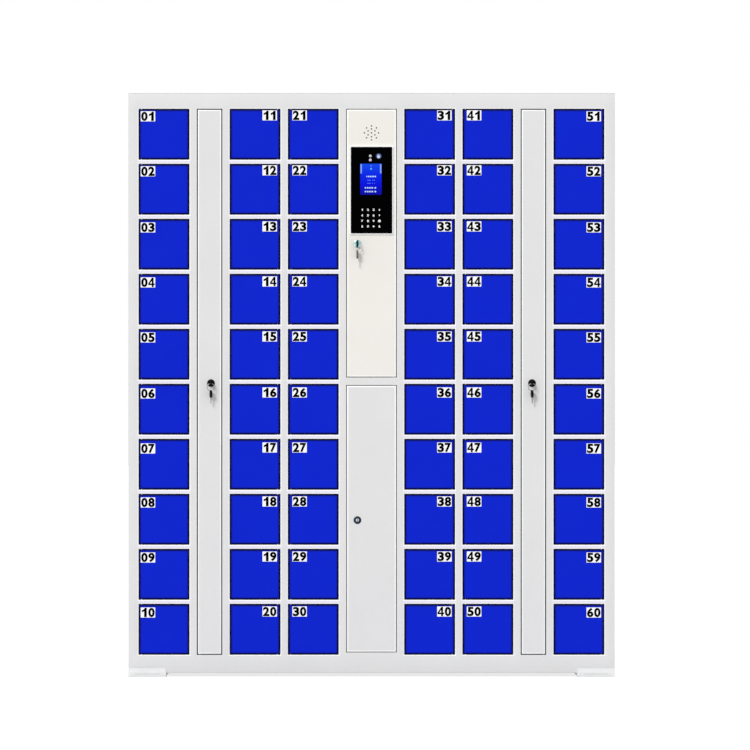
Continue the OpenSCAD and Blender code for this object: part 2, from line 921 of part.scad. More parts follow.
small_doors(5, single_rows, rows - 1);  // doors_54_to_60
left_service_door();
left_lock();
left_key();
right_service_door();
right_lock();
right_key();
control_door();
control_lock();
control_key();
terminal_housing();
terminal_glass();
display();
terminal_board();
camera();
speaker();
lower_door();
lower_lock();
lower_plug();
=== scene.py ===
import json
import math

import bmesh
import bpy
from mathutils import Matrix, Vector

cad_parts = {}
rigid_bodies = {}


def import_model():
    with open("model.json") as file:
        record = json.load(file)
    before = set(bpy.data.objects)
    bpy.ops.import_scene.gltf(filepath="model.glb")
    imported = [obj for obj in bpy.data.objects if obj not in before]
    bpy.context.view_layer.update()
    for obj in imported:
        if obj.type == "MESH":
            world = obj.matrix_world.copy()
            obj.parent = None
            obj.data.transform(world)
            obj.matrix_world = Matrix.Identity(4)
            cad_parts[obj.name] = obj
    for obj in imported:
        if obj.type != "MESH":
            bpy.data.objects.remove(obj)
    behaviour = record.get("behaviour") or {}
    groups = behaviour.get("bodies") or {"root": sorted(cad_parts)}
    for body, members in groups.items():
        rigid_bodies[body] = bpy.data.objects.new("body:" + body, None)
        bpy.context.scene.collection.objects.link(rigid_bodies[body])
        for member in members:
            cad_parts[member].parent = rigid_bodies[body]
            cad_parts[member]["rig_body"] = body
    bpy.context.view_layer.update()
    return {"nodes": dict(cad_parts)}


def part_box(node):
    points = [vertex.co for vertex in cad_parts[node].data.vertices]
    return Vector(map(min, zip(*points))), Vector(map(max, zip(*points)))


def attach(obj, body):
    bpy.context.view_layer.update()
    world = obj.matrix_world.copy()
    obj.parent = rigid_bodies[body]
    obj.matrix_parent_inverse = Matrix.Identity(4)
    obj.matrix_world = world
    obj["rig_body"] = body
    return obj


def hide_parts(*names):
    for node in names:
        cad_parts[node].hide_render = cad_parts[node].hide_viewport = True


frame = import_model()
nodes = frame["nodes"]

# The cabinet's driving sizes, in millimetres as everywhere below
MM = 0.001
WIDTH, DEPTH, HEIGHT = 1500, 300, 1800
EDGE_W, STILE_W, RAIL_H, MID_RAIL_H = 32.3, 23.3, 13.1, 23.5
OPENING_W, OPENING_H, SERVICE_W, CENTRE_W = 156.2, 156.5, 77.9, 156
FOOT_H, SILL_H, THRESHOLD_H, CONTROL_OPENING_H = 11, 57.1, 7, 828
SHEET, STILE_D, RAIL_D = 1.2, 20, 12
ROWS, SINGLE_ROWS = 10, 3
DOOR_GAP, DOOR_T = 2, 16
PIVOT_INSET, PIVOT_DEPTH, PIVOT_R, PIVOT_REACH = 9, 4, 1.75, 3.2

FRONT, BACK = -DEPTH / 2, DEPTH / 2
LOW = FOOT_H + SILL_H
HIGH = LOW + ROWS * OPENING_H + (ROWS - 1) * RAIL_H
CONTROL_Z = HIGH - CONTROL_OPENING_H
LOWER_Z = LOW + THRESHOLD_H
LOWER_TOP = CONTROL_Z - MID_RAIL_H
LAYOUT = ("column", "service", "column", "column", "centre", "column", "column", "service", "column")
WIDTHS = {"column": OPENING_W, "service": SERVICE_W, "centre": CENTRE_W}
LEFTS = {kind: [] for kind in WIDTHS}
left = EDGE_W - WIDTH / 2
for kind in LAYOUT:
    LEFTS[kind].append(left)
    left += WIDTHS[kind] + STILE_W


def row_z(row):
    """Bottom of a row's openings. Row 0 is the top one."""
    return LOW + (ROWS - 1 - row) * (OPENING_H + RAIL_H)


# Openings as (left, right, bottom, top)
SMALL_OPENINGS = [[(x, x + OPENING_W, row_z(row), row_z(row) + OPENING_H) for row in range(ROWS)]
                  for x in LEFTS["column"]]
SERVICE_OPENINGS = [(x, x + SERVICE_W, LOW, HIGH) for x in LEFTS["service"]]
LOWER_OPENING = (-CENTRE_W / 2, CENTRE_W / 2, LOWER_Z, LOWER_TOP)
CONTROL_OPENING = (-CENTRE_W / 2, CENTRE_W / 2, CONTROL_Z, HIGH)


def box_of(node):
    """Lowest and highest corner of a CAD node, in millimetres."""
    lo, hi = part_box(node)
    return lo / MM, hi / MM


def middle_of(node):
    lo, hi = box_of(node)
    return (lo + hi) / 2


# Materials

COAT_ROUGH, BUMP_STRENGTH = 0.1, 0.6
# Between these values lies most of a noise texture
NOISE_LOW, NOISE_HIGH = 0.3, 0.7
# Heights between which the colours of the lit screen run
SCREEN_LOW, SCREEN_HIGH = 1486, 1584


def srgb(r, g, b):
    """Linear colour of an 8-bit display colour."""
    def one(v):
        v /= 255
        return v / 12.92 if v <= 0.04045 else ((v + 0.055) / 1.055) ** 2.4
    return (one(r), one(g), one(b), 1)


def grey(level):
    return srgb(level, level, level)


def shade(colour, factor):
    return tuple(min(1, v * factor) for v in colour[:3]) + (1,)


class Material:
    """A Principled material whose colour, roughness and grain vary with the place on the piece."""

    def __init__(self, name, colour, rough, metal=0, specular=0.5, coat=0):
        self.data = bpy.data.materials.new(name)
        self.data.use_nodes = True
        self.tree = self.data.node_tree
        self.shader = self.tree.nodes["Principled BSDF"]
        self.colour, self.rough = colour, rough
        for key, value in (("Base Color", colour), ("Roughness", rough), ("Metallic", metal),
                           ("Specular IOR Level", specular), ("Coat Weight", coat),
                           ("Coat Roughness", COAT_ROUGH)):
            self.shader.inputs[key].default_value = value
        self.place = self.node("ShaderNodeTexCoord").outputs["Object"]

    def node(self, kind, inputs=(), **settings):
        made = self.tree.nodes.new(kind)
        for key, value in settings.items():
            setattr(made, key, value)
        for key, value in dict(inputs).items():
            if isinstance(value, bpy.types.NodeSocket):
                self.tree.links.new(value, made.inputs[key])
            else:
                made.inputs[key].default_value = value
        return made

    def link(self, source, key):
        self.tree.links.new(source, self.shader.inputs[key])

    def stretched(self, x, y, z):
        """The place on the piece, stretched for brushed or streaky patterns."""
        return self.node("ShaderNodeMapping", {"Vector": self.place, "Scale": (x, y, z)}).outputs[0]

    def noise(self, scale, detail, where):
        return self.node("ShaderNodeTexNoise", {"Vector": where or self.place, "Scale": scale,
                                                "Detail": detail}).outputs["Fac"]

    def spread(self, value, low, high):
        """Maps a noise value from its usual span onto low to high."""
        return self.node("ShaderNodeMapRange", {"Value": value, "From Min": NOISE_LOW,
                                                "From Max": NOISE_HIGH, "To Min": low,
                                                "To Max": high}).outputs[0]

    def tone(self, amount, scale, where=None, to=None):
        """Colour that drifts by amount around the base, or towards another colour."""
        mix = self.node("ShaderNodeMix", {6: shade(self.colour, 1 - amount),
                                          7: to or shade(self.colour, 1 + amount)},
                        data_type="RGBA")
        self.tree.links.new(self.spread(self.noise(scale, 3, where), 0, 1), mix.inputs[0])
        self.link(mix.outputs[2], "Base Color")
        return self

    def gloss(self, amount, scale, where=None):
        """Roughness that drifts by amount around the base."""
        self.link(self.spread(self.noise(scale, 2, where), self.rough - amount, self.rough + amount),
                  "Roughness")
        return self

    def grain(self, scale, height, where=None):
        """Fine bump, with its height in metres."""
        bump = self.node("ShaderNodeBump", {"Height": self.noise(scale, 2, where),
                                            "Distance": height, "Strength": BUMP_STRENGTH})
        self.link(bump.outputs[0], "Normal")
        return self

    def glow(self, colours, low, high):
        """Light of its own, through the colours from height low to height high, in millimetres."""
        z = self.node("ShaderNodeSeparateXYZ", {0: self.place}).outputs[2]
        share = self.node("ShaderNodeMapRange", {"Value": z, "From Min": low * MM,
                                                 "From Max": high * MM})
        ramp = self.node("ShaderNodeValToRGB", {0: share.outputs[0]})
        elements = ramp.color_ramp.elements
        while len(elements) < len(colours):
            elements.new(0.5)
        for n, colour in enumerate(colours):
            elements[n].position = n / (len(colours) - 1)
            elements[n].color = colour
        self.link(ramp.outputs[0], "Emission Color")
        self.shader.inputs["Emission Strength"].default_value = 1
        return self


def paint(name, colour, rough=0.42, specular=0.3, tone=0.012):
    """Powder coat: a faint drift of tone, a satin gloss and an orange-peel grain."""
    made = Material(name, colour, rough, specular=specular)
    made.tone(amount=tone, scale=6).gloss(amount=0.05, scale=14).grain(scale=900, height=0.00005)
    return made.data


def metal(name, colour, rough, along, tone=0.06):
    """Machined or drawn metal, its marks packed closer along an axis by that factor of along."""
    made = Material(name, colour, rough, metal=1)
    where = made.stretched(*along)
    made.tone(tone, 60, where).gloss(amount=0.08, scale=90, where=where)
    return made.grain(scale=500, height=0.00002, where=where).data


def plastic(name, colour, rough, specular=0.4, grain=1500):
    """Moulded plastic: a soft drift of tone and gloss, and a fine texture."""
    made = Material(name, colour, rough, specular=specular)
    made.tone(amount=0.03, scale=30).gloss(amount=0.05, scale=40).grain(grain, height=0.00003)
    return made.data


def lit(name, colour):
    """A small lit mark on a screen."""
    made = Material(name, (0.01, 0.01, 0.02, 1), 0.2, specular=0.1).gloss(amount=0.05, scale=60)
    return made.glow([shade(colour, 0.92), colour], 0, HEIGHT).data


FRAME_PAINT = paint("frame_paint", grey(225))
# Painted highlight: white on the rounded folds round the small openings, standing in for light caught
# there
FRAME_EDGE_HIGHLIGHT = paint("frame_edge_painted_highlight", grey(255), 0.35)
# Painted shade: dark grey on the fold sides, stile flanges and narrow doors' sides inside the gaps, where
# shade falls
FRAME_SIDE_SHADE = paint("frame_side_painted_shade", srgb(82, 84, 86), 0.6)
CENTRE_SIDE = paint("centre_side", srgb(238, 236, 230), 0.6)
# Painted light: the frame's grey with a painted blue cast of the light from the blue doors round the
# rails between rows
RAIL_BLUE_CAST = paint("rail_painted_blue_cast", srgb(232, 229, 243))
SERVICE_PAINT = paint("service_paint", grey(225))
# Painted highlight: a lighter strip round the service doors' faces, standing in for light on their
# rounded edges
SERVICE_EDGE_HIGHLIGHT = paint("service_edge_painted_highlight", grey(250), 0.35)
CONTROL_PAINT = paint("control_paint", srgb(238, 235, 229))
# Painted highlight round the control door's face
CONTROL_EDGE_HIGHLIGHT = paint("control_edge_painted_highlight", srgb(253, 252, 249), 0.35)
GASKET = plastic("gasket_white", grey(252), 0.5, 0.3)
DOOR_PAINT = paint("door_paint", srgb(8, 36, 204), 0.42, 0.06, 0.03)
# Painted shade: dark navy on the blue doors' sides and rounded edges, and a darker blue band just inside
# them
DOOR_EDGE_SHADE = paint("door_edge_painted_shade", srgb(5, 9, 72), 0.5, 0.03, 0.05)
DOOR_SOFT_SHADE = paint("door_soft_painted_shade", srgb(12, 31, 172), 0.42, 0.06, 0.03)
INNER_STEEL = paint("inner_steel", srgb(206, 208, 210), 0.5)
FOOT_PAINT = plastic("foot_white", srgb(229, 230, 230), 0.5, 0.2, 600)
# Painted highlight and shade on the feet's lips: a light band and end strips for light on the rounded
# moulding, grey lines for its shade
FOOT_HIGHLIGHT = plastic("foot_painted_highlight", srgb(238, 238, 239), 0.5, 0.2, 600)
FOOT_SHADE = plastic("foot_painted_shade", grey(212), 0.5, 0.2)
# Painted shadow: a grey line on the sill above each foot's lip
SILL_SHADOW = plastic("sill_painted_shadow", srgb(216, 217, 217), 0.5, 0.2)
PLATE_WHITE = plastic("plate_white", srgb(252, 252, 253), 0.45, 0.2)
PLATE_BLACK = plastic("plate_black", grey(1), 0.8, 0)
BOLT_STEEL = metal("bolt_steel", srgb(196, 198, 202), 0.28, (60, 1, 1))
ZINC = metal("zinc_plate", srgb(190, 192, 196), 0.42, (1, 1, 1), 0.1)
LOCK_BLACK = metal("lock_black", srgb(22, 22, 25), 0.42, (1, 60, 1), 0.2)
KEY_BLACK = plastic("key_black", srgb(3, 3, 4), 0.5, 0.08)
KEY_GREY = plastic("key_grey", srgb(104, 96, 92), 0.5, 0.2)
KEY_LIGHT = metal("key_light", srgb(226, 224, 220), 0.3, (1, 1, 30), 0.05)
KEY_DARK = plastic("key_dark", srgb(10, 44, 44), 0.4, 0.15)
KEY_STEEL = metal("key_steel", grey(112), 0.35, (1, 1, 30), 0.1)
RING_STEEL = metal("ring_steel", grey(150), 0.25, (1, 1, 1))
RING_LIGHT = metal("ring_light", srgb(214, 214, 212), 0.3, (1, 1, 1))
# Painted shade: a dark teal ring over the control lock's flange rim
LOCK_RIM_SHADE = metal("lock_rim_painted_shade", srgb(96, 128, 126), 0.3, (1, 1, 1), 0.05)
# Chrome with a painted teal reflection in its base colour
LOCK_CHROME_TEAL_REFLECTION = metal("lock_chrome_painted_teal_reflection", srgb(158, 202, 200), 0.25, (1, 1, 1), 0.03)
LOCK_DARK = metal("lock_dark", srgb(44, 50, 58), 0.3, (1, 40, 1), 0.15)
PLUG_STEEL = metal("plug_steel", srgb(196, 206, 222), 0.3, (1, 40, 1), 0.12)
GLASS_BLACK = Material("glass_black", srgb(0, 0, 1), 0.3, specular=0.01).gloss(0.03, 20).data
HOUSING = plastic("housing_black", srgb(8, 8, 10), 0.5, 0.15)
CASE_DARK = plastic("case_dark", srgb(74, 76, 80), 0.45)
DUCT_GREY = plastic("duct_grey", srgb(190, 192, 192), 0.5)
BOARD_GREEN = plastic("board_green", srgb(20, 84, 48), 0.35, 0.4, 700)
STRIP_GREEN = plastic("strip_green", srgb(54, 148, 92), 0.4)
SUPPLY_METAL = metal("supply_metal", srgb(176, 180, 184), 0.38, (40, 1, 1))
SOCKET_BLACK = plastic("socket_black", srgb(20, 20, 22), 0.4)
BRASS = metal("contact_brass", srgb(214, 190, 120), 0.3, (1, 40, 1))
SPEAKER_DARK = plastic("speaker_dark", srgb(112, 112, 114), 0.6)
BEZEL = metal("lens_bezel", srgb(62, 74, 108), 0.3, (1, 60, 1), 0.1)
LENS = Material("lens_glass", srgb(88, 106, 158), 0.12, coat=0.5).tone(
    0.2, 160, to=srgb(120, 140, 200)).data
# Painted highlight: a bright glint on the camera's lens
LENS_GLINT = Material("lens_painted_glint", srgb(206, 220, 252), 0.2, specular=0.4).tone(0.04, 200).data
SENSOR = plastic("sensor_white", srgb(190, 190, 192), 0.3, 0.2)
SENSOR_PINK = plastic("sensor_pink", srgb(212, 196, 214), 0.3, 0.2)
INK_WHITE = plastic("ink_white", grey(236), 0.5, 0.1)
SCREEN_BLUE = Material("screen_blue", (0.001, 0.002, 0.02, 1), 0.2, specular=0.03).gloss(
    0.03, 30).glow([srgb(6, 6, 150), srgb(2, 12, 215), srgb(4, 40, 228), srgb(14, 74, 230)],
                   SCREEN_LOW, SCREEN_HIGH).data
SCREEN_SIDE = lit("screen_side", srgb(128, 158, 244))
SCREEN_CYAN = lit("screen_cyan", srgb(96, 176, 250))
SCREEN_WHITE = lit("screen_white", srgb(200, 226, 255))
SCREEN_DIM = lit("screen_dim", srgb(88, 132, 246))


# Mesh code. Shapes are drawn in millimetres and scaled when they are finished

SHARP_ANGLE, WELD_GAP = 40, 1e-4


def matrix_between(point, direction):
    """Places what is made along Z at a point, along a direction."""
    turn = Vector(direction).to_track_quat("Z", "Y").to_matrix().to_4x4()
    return Matrix.Translation(point) @ turn


def upright(x, y, z):
    """Places what is drawn in the XY plane upright at a point, facing -Y."""
    return Matrix.Translation((x, y, z)) @ Matrix.Rotation(math.pi / 2, 4, "X")


def arc(x, y, r, start, end, steps):
    """Points on an arc, with angles in degrees."""
    angles = [math.radians(start + (end - start) * s / steps) for s in range(steps + 1)]
    return [(x + r * math.cos(a), y + r * math.sin(a)) for a in angles]


def circle(x, y, r, points, start=0):
    """A circle's outline, or a regular polygon's where the points are few."""
    return arc(x, y, r, start, start + 360 - 360 / points, points - 1)


def rectangle(w, h, r, steps, x=0, y=0):
    """Outline of a rectangle about a point, with round corners where r isn't 0."""
    corners = ((1, 1, 0), (-1, 1, 90), (-1, -1, 180), (1, -1, 270))
    if not r:
        return [(x + sx * w / 2, y + sy * h / 2) for sx, sy, _ in corners]
    points = []
    for sx, sy, start in corners:
        points += arc(x + sx * (w / 2 - r), y + sy * (h / 2 - r), r, start, start + 90, steps)
    return points


def new_object(name, data):
    made = bpy.data.objects.new(name, data)
    bpy.context.scene.collection.objects.link(made)
    return made


def final_mesh(made):
    """The mesh that a curve, a text or an object with modifiers comes out as."""
    bpy.context.view_layer.update()
    graph = bpy.context.evaluated_depsgraph_get()
    return bpy.data.meshes.new_from_object(made.evaluated_get(graph))


def mesh_of_curve(curve):
    temp = new_object("temp", curve)
    mesh = final_mesh(temp)
    bpy.data.objects.remove(temp)
    return mesh


def filled(outlines, thickness, ease=0):
    """A plate about z = 0 inside the first outline and outside the others, its edges eased."""
    curve = bpy.data.curves.new("outline", "CURVE")
    curve.dimensions, curve.fill_mode = "2D", "BOTH"
    for points in outlines:
        spline = curve.splines.new("POLY")
        spline.points.add(len(points) - 1)
        for point, (x, y) in zip(spline.points, points):
            point.co = (x, y, 0, 1)
        spline.use_cyclic_u = True
    curve.extrude = thickness / 2 - ease
    curve.bevel_depth, curve.offset, curve.bevel_resolution = ease, -ease, 1
    return mesh_of_curve(curve)


def smooth_shaded(mesh):
    """Smooth faces, with sharp edges where they meet at more than SHARP_ANGLE degrees."""
    mesh.polygons.foreach_set("use_smooth", [True] * len(mesh.polygons))
    mesh.set_sharp_from_angle(angle=math.radians(SHARP_ANGLE))


class Shape:
    """One piece in the making: a mesh whose parts each have a material."""

    def __init__(self, name, *materials):
        self.name, self.materials = name, list(materials)
        self.bm = bmesh.new()

    def add(self, part, slot=0):
        """Adds a part, in the slot, or in its faces' own slots where slot is None."""
        if slot is not None:
            for face in part.faces:
                face.material_index = slot
        mesh = bpy.data.meshes.new("part")
        part.to_mesh(mesh)
        part.free()
        self.bm.from_mesh(mesh)
        bpy.data.meshes.remove(mesh)

    def mesh(self, source, place, slot=0):
        """Adds a copy of a mesh at a place."""
        part = bmesh.new()
        part.from_mesh(source)
        part.transform(place)
        self.add(part, slot)

    def box(self, lo, hi, ease=0, slot=0):
        lo, hi = Vector(lo), Vector(hi)
        part = bmesh.new()
        bmesh.ops.create_cube(part, size=1, matrix=Matrix.Translation((lo + hi) / 2)
                              @ Matrix.Diagonal((*(hi - lo), 1)))
        if ease:
            bmesh.ops.bevel(part, geom=part.edges[:], offset=ease, segments=2, affect="EDGES",
                            profile=0.5)
        self.add(part, slot)

    def turned(self, profile, point, direction, slot=0, steps=48):
        """A turned part: profile is a list of (radius, height) along a direction."""
        part = bmesh.new()
        verts = [part.verts.new((r, 0, h)) for r, h in profile]
        edges = [part.edges.new(pair) for pair in zip(verts, verts[1:])]
        bmesh.ops.spin(part, geom=verts + edges, cent=(0, 0, 0), axis=(0, 0, 1), dvec=(0, 0, 0),
                       angle=math.tau, steps=steps, use_duplicate=False)
        bmesh.ops.remove_doubles(part, verts=part.verts, dist=WELD_GAP)
        bmesh.ops.recalc_face_normals(part, faces=part.faces)
        part.transform(matrix_between(point, direction))
        self.add(part, slot)

    def nested(self, rect, profile, ring=False):
        """Rectangles joined one to the next, and the last to the first in a ring or both of them
        closed. A profile's entries are the inset from rect, the depth behind the front and the
        slot of the faces up to there."""
        x0, x1, z0, z1 = rect
        part = bmesh.new()
        loops = []
        for inset, depth, _ in profile:
            corners = ((x0 + inset, z0 + inset), (x1 - inset, z0 + inset),
                       (x1 - inset, z1 - inset), (x0 + inset, z1 - inset))
            loops.append([part.verts.new((x, FRONT + depth, z)) for x, z in corners])
        following = zip(loops, loops[1:] + loops[:1] * ring, profile[1:] + profile[:1] * ring)
        for a, b, (_, _, slot) in following:
            for n in range(4):
                part.faces.new((a[n], a[n - 1], b[n - 1], b[n])).material_index = slot
        if not ring:
            part.faces.new(loops[0])
            part.faces.new(loops[-1])
        bmesh.ops.recalc_face_normals(part, faces=part.faces)
        self.add(part, None)

    def finish(self, body, *stands_for, sheet=0):
        """Makes the object in metres, gives it the thickness sheet, if any, and puts it on its
        body. It stands for the CAD nodes named."""
        self.bm.transform(Matrix.Diagonal((MM, MM, MM, 1)))
        mesh = bpy.data.meshes.new(self.name)
        self.bm.to_mesh(mesh)
        self.bm.free()
        for material in self.materials:
            mesh.materials.append(material)
        made = new_object(self.name, mesh)
        if sheet:
            modifier = made.modifiers.new("sheet", "SOLIDIFY")
            modifier.thickness, modifier.offset = sheet * MM, -1
            modifier.use_even_offset, modifier.material_offset = True, 2
            made.data = final_mesh(made)
            made.modifiers.clear()
        smooth_shaded(made.data)
        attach(made, body)
        if stands_for:
            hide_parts(*stands_for)


def body_of(node):
    return nodes[node]["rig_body"]


def grown(rect, by):
    """A rectangle grown on all sides, rounded so that equal edges stay equal."""
    return tuple(round(v + sign * by, 4) for v, sign in zip(rect, (-1, 1, -1, 1)))


# Front frame: one sheet with its edges folded back round every opening

FOLD_R, FOLD_STEPS = 3, 3
OUTER_ROUND, OUTER_RETURN = 1.5, 10


def quarter_round(r, slot):
    """A fold's (shift, depth, slot) entries from the flat face round to its side."""
    return [(y, r - x, slot) for x, y in arc(0, 0, r, 0, 90, FOLD_STEPS)[1:]]


class Sheet:
    """A flat sheet at the front, cut along the same lines everywhere, so that it stays whole."""

    def __init__(self, rects):
        self.part = bmesh.new()
        self.corners = {}
        self.xs = sorted({x for rect in rects for x in rect[:2]})
        self.zs = sorted({z for rect in rects for z in rect[2:]})

    def corner(self, x, depth, z):
        key = (round(x, 4), round(depth, 4), round(z, 4))
        if key not in self.corners:
            self.corners[key] = self.part.verts.new((x, FRONT + depth, z))
        return self.corners[key]

    def face(self, points, slot):
        self.part.faces.new([self.corner(*p) for p in points]).material_index = slot

    def flat(self, holes, slot_at):
        """The flat face, without the holes."""
        for x0, x1 in zip(self.xs, self.xs[1:]):
            for z0, z1 in zip(self.zs, self.zs[1:]):
                x, z = (x0 + x1) / 2, (z0 + z1) / 2
                if not any(a < x < b and c < z < d for a, b, c, d in holes):
                    self.face(((x0, 0, z0), (x1, 0, z0), (x1, 0, z1), (x0, 0, z1)), slot_at(x, z))

    def perimeter(self, rect):
        """The points round a rectangle, in order, at its corners and where lines cross it."""
        x0, x1, z0, z1 = rect
        across = [x for x in self.xs if x0 <= x <= x1]
        up = [z for z in self.zs if z0 <= z <= z1]
        return ([(x, z0) for x in across[:-1]] + [(x1, z) for z in up[:-1]]
                + [(x, z1) for x in across[:0:-1]] + [(x0, z) for z in up[:0:-1]])

    def fold(self, rect, profile, inwards=1):
        """Folds the sheet back at a rectangle's edges, into it or away from it."""
        x0, x1, z0, z1 = rect
        points = self.perimeter(rect)
        before = [(x, 0, z) for x, z in points]
        for shift, depth, slot in profile:
            shift *= inwards
            after = [(x + shift * ((x == x0) - (x == x1)), depth, z + shift * ((z == z0) - (z == z1)))
                     for x, z in points]
            for n in range(len(points)):
                self.face((before[n - 1], before[n], after[n], after[n - 1]), slot)
            before = after


def front_sheet():
    """The sheet of stiles and rails."""
    face, edge_highlight, side, rail_blue_cast, centre_side = range(5)
    small = [grown(rect, FOLD_R) for column in SMALL_OPENINGS for rect in column]
    service = [grown(rect, FOLD_R) for rect in SERVICE_OPENINGS]
    centre = [grown(rect, FOLD_R) for rect in (LOWER_OPENING, CONTROL_OPENING)]
    outside = grown((-WIDTH / 2, WIDTH / 2, FOOT_H + SHEET, HEIGHT - SHEET), -OUTER_ROUND)
    sheet = Sheet([outside, *small, *service, *centre])

    # Between the rows of small doors the sheet has rail_blue_cast, a painted blue cast
    def slot_at(x, z):
        between_rows = any(x0 < x < x1 for x0, x1, _, _ in small) and LOW < z < HIGH
        return rail_blue_cast if between_rows else face

    sheet.flat(small + service + centre, slot_at)
    # The sides of the small and narrow openings' folds, in side, are dark grey painted shade
    for rect in small:
        # The folds' rounding is in edge_highlight, a painted highlight
        sheet.fold(rect, quarter_round(FOLD_R, edge_highlight) + [(FOLD_R, RAIL_D, side)])
    for rects, slot in ((service, side), (centre, centre_side)):
        for rect in rects:
            sheet.fold(rect, [(FOLD_R - 0.7, 0, face), (FOLD_R - 0.3, 0.1, face),
                              (FOLD_R, 0.7, slot), (FOLD_R, RAIL_D, slot)])
    sheet.fold(outside, quarter_round(OUTER_ROUND, face) + [(OUTER_ROUND, OUTER_RETURN, face)], -1)
    bmesh.ops.recalc_face_normals(sheet.part, faces=sheet.part.faces)
    sheet.part.faces.ensure_lookup_table()
    if sheet.part.faces[0].normal.y > 0:
        bmesh.ops.reverse_faces(sheet.part, faces=sheet.part.faces)
    shape = Shape("front_frame", FRAME_PAINT, FRAME_EDGE_HIGHLIGHT, FRAME_SIDE_SHADE, RAIL_BLUE_CAST, CENTRE_SIDE)
    shape.add(sheet.part, None)
    shape.finish("cabinet", "stiles", "rails", sheet=SHEET)


def stile_flanges():
    """The stiles' folded edges, which reach further back than the rails, dark grey with painted shade."""
    flanges = Shape("stile_flanges", FRAME_SIDE_SHADE)
    for rect in [column[0] for column in SMALL_OPENINGS] + [*SERVICE_OPENINGS, CONTROL_OPENING]:
        for x in (rect[0] - SHEET, rect[1]):
            flanges.box((x, FRONT + RAIL_D, LOW), (x + SHEET, FRONT + STILE_D, HIGH))
    flanges.finish("cabinet")


def side_sheets():
    sides = Shape("side_sheets", FRAME_PAINT)
    for x in (-WIDTH / 2, WIDTH / 2 - SHEET):
        sides.box((x, FRONT + OUTER_RETURN, FOOT_H + SHEET), (x + SHEET, BACK, HEIGHT - SHEET))
    sides.finish("cabinet", "side_panels")


def centre_shelf():
    """The shelf between the control space and the lower space, notched for the stiles."""
    shelf = Shape("centre_shelf_sheet", INNER_STEEL)
    hi = box_of("centre_shelf")[1]
    shelf.box((-CENTRE_W / 2, FRONT + RAIL_D - SHEET, CONTROL_Z - SHEET),
              (CENTRE_W / 2, hi.y, CONTROL_Z))
    for side in (-1, 1):
        x0, x1 = sorted((side * CENTRE_W / 2, side * hi.x))
        shelf.box((x0, FRONT + STILE_D, CONTROL_Z - SHEET), (x1, hi.y, CONTROL_Z))
    shelf.finish("cabinet", "centre_shelf")


front_sheet()
stile_flanges()
side_sheets()
centre_shelf()


# Feet: a block under each corner, and a moulded lip in front of the sill

FOOT_W, FOOT_L, LIP_T, LIP_H = 117, 60, 1.5, 27
# Painted highlight and shade on a lip, as thin plates (width, height, middle above the floor, slot); slot
# 1 is a painted highlight, slot 2 painted shade
LIP_LIGHT_AND_SHADE = ((FOOT_W - 16, 11, 19, 1), (FOOT_W - 40, 2.6, 8.4, 2), (FOOT_W - 6, 2.2, 1.6, 2))
LIP_END_HIGHLIGHT_W, LIP_END_HIGHLIGHT_INSET = 4, 6
# A painted shadow line on the sill above each lip
SILL_SHADOW_W, SILL_SHADOW_H, SILL_SHADOW_RISE = FOOT_W - 12, 4, 3


def feet():
    shape = Shape("moulded_feet", FOOT_PAINT, FOOT_HIGHLIGHT, FOOT_SHADE, SILL_SHADOW)
    lip_face = FRONT - LIP_T + 0.05
    for side in (-1, 1):
        x0, x1 = sorted((side * WIDTH / 2, side * (WIDTH / 2 - FOOT_W)))
        middle = (x0 + x1) / 2
        for y in (FRONT, BACK - FOOT_L):
            shape.box((x0, y, 0), (x1, y + FOOT_L, FOOT_H), 0.8)
        outline = rectangle(FOOT_W, LIP_H, 4, 4, middle, LIP_H / 2)
        shape.mesh(filled([outline], LIP_T, 0.5), upright(0, FRONT - LIP_T / 2, 0))
        # Plates of painted highlight and shade on the lip
        for wide, high, z, slot in LIP_LIGHT_AND_SHADE:
            shape.mesh(filled([rectangle(wide, high, 1, 3)], 0.2, 0.08), upright(middle, lip_face, z),
                       slot)
        # Strips of painted highlight at the lip's ends
        for end in (-1, 1):
            shape.mesh(filled([rectangle(LIP_END_HIGHLIGHT_W, LIP_H - 8, 1.5, 3)], 0.3, 0.1),
                       upright(middle + end * (FOOT_W / 2 - LIP_END_HIGHLIGHT_INSET), lip_face, LIP_H / 2), 1)
        # The painted shadow line on the sill
        shape.mesh(filled([rectangle(SILL_SHADOW_W, SILL_SHADOW_H, 1, 3)], 0.1),
                   upright(middle, FRONT - 0.06, LIP_H + SILL_SHADOW_RISE), 3)
    shape.finish("cabinet", "feet")


feet()


# Digits of the number plates and the keypad

DIGIT_H, DIGIT_W, DIGIT_T, DIGIT_STEP = 28.8, 19.8, 0.15, 21.8
# How much bolder the digits are than the font's own
BOLDER = 1.35
# The font's own 1 and 4 look different, so these are outlines
ONE = [(9, 0), (17.2, 0), (17.2, 28.8), (11, 28.8), (9.4, 25.6), (6.4, 22.9), (2.2, 21.4),
       (2.2, 14.8), (6, 16.4), (9, 18.4)]
FOUR = [[(10.8, 0), (16.6, 0), (16.6, 6.1), (19.9, 6.1), (19.9, 11.1), (16.6, 11.1), (16.6, 28.8),
         (11.4, 28.8), (-0.1, 11.5), (-0.1, 6.1), (10.8, 6.1)],
        [(10.8, 11.1), (10.8, 19.6), (5.2, 11.1)]]


def centred(points):
    return [(x - DIGIT_W / 2, y - DIGIT_H / 2) for x, y in points]


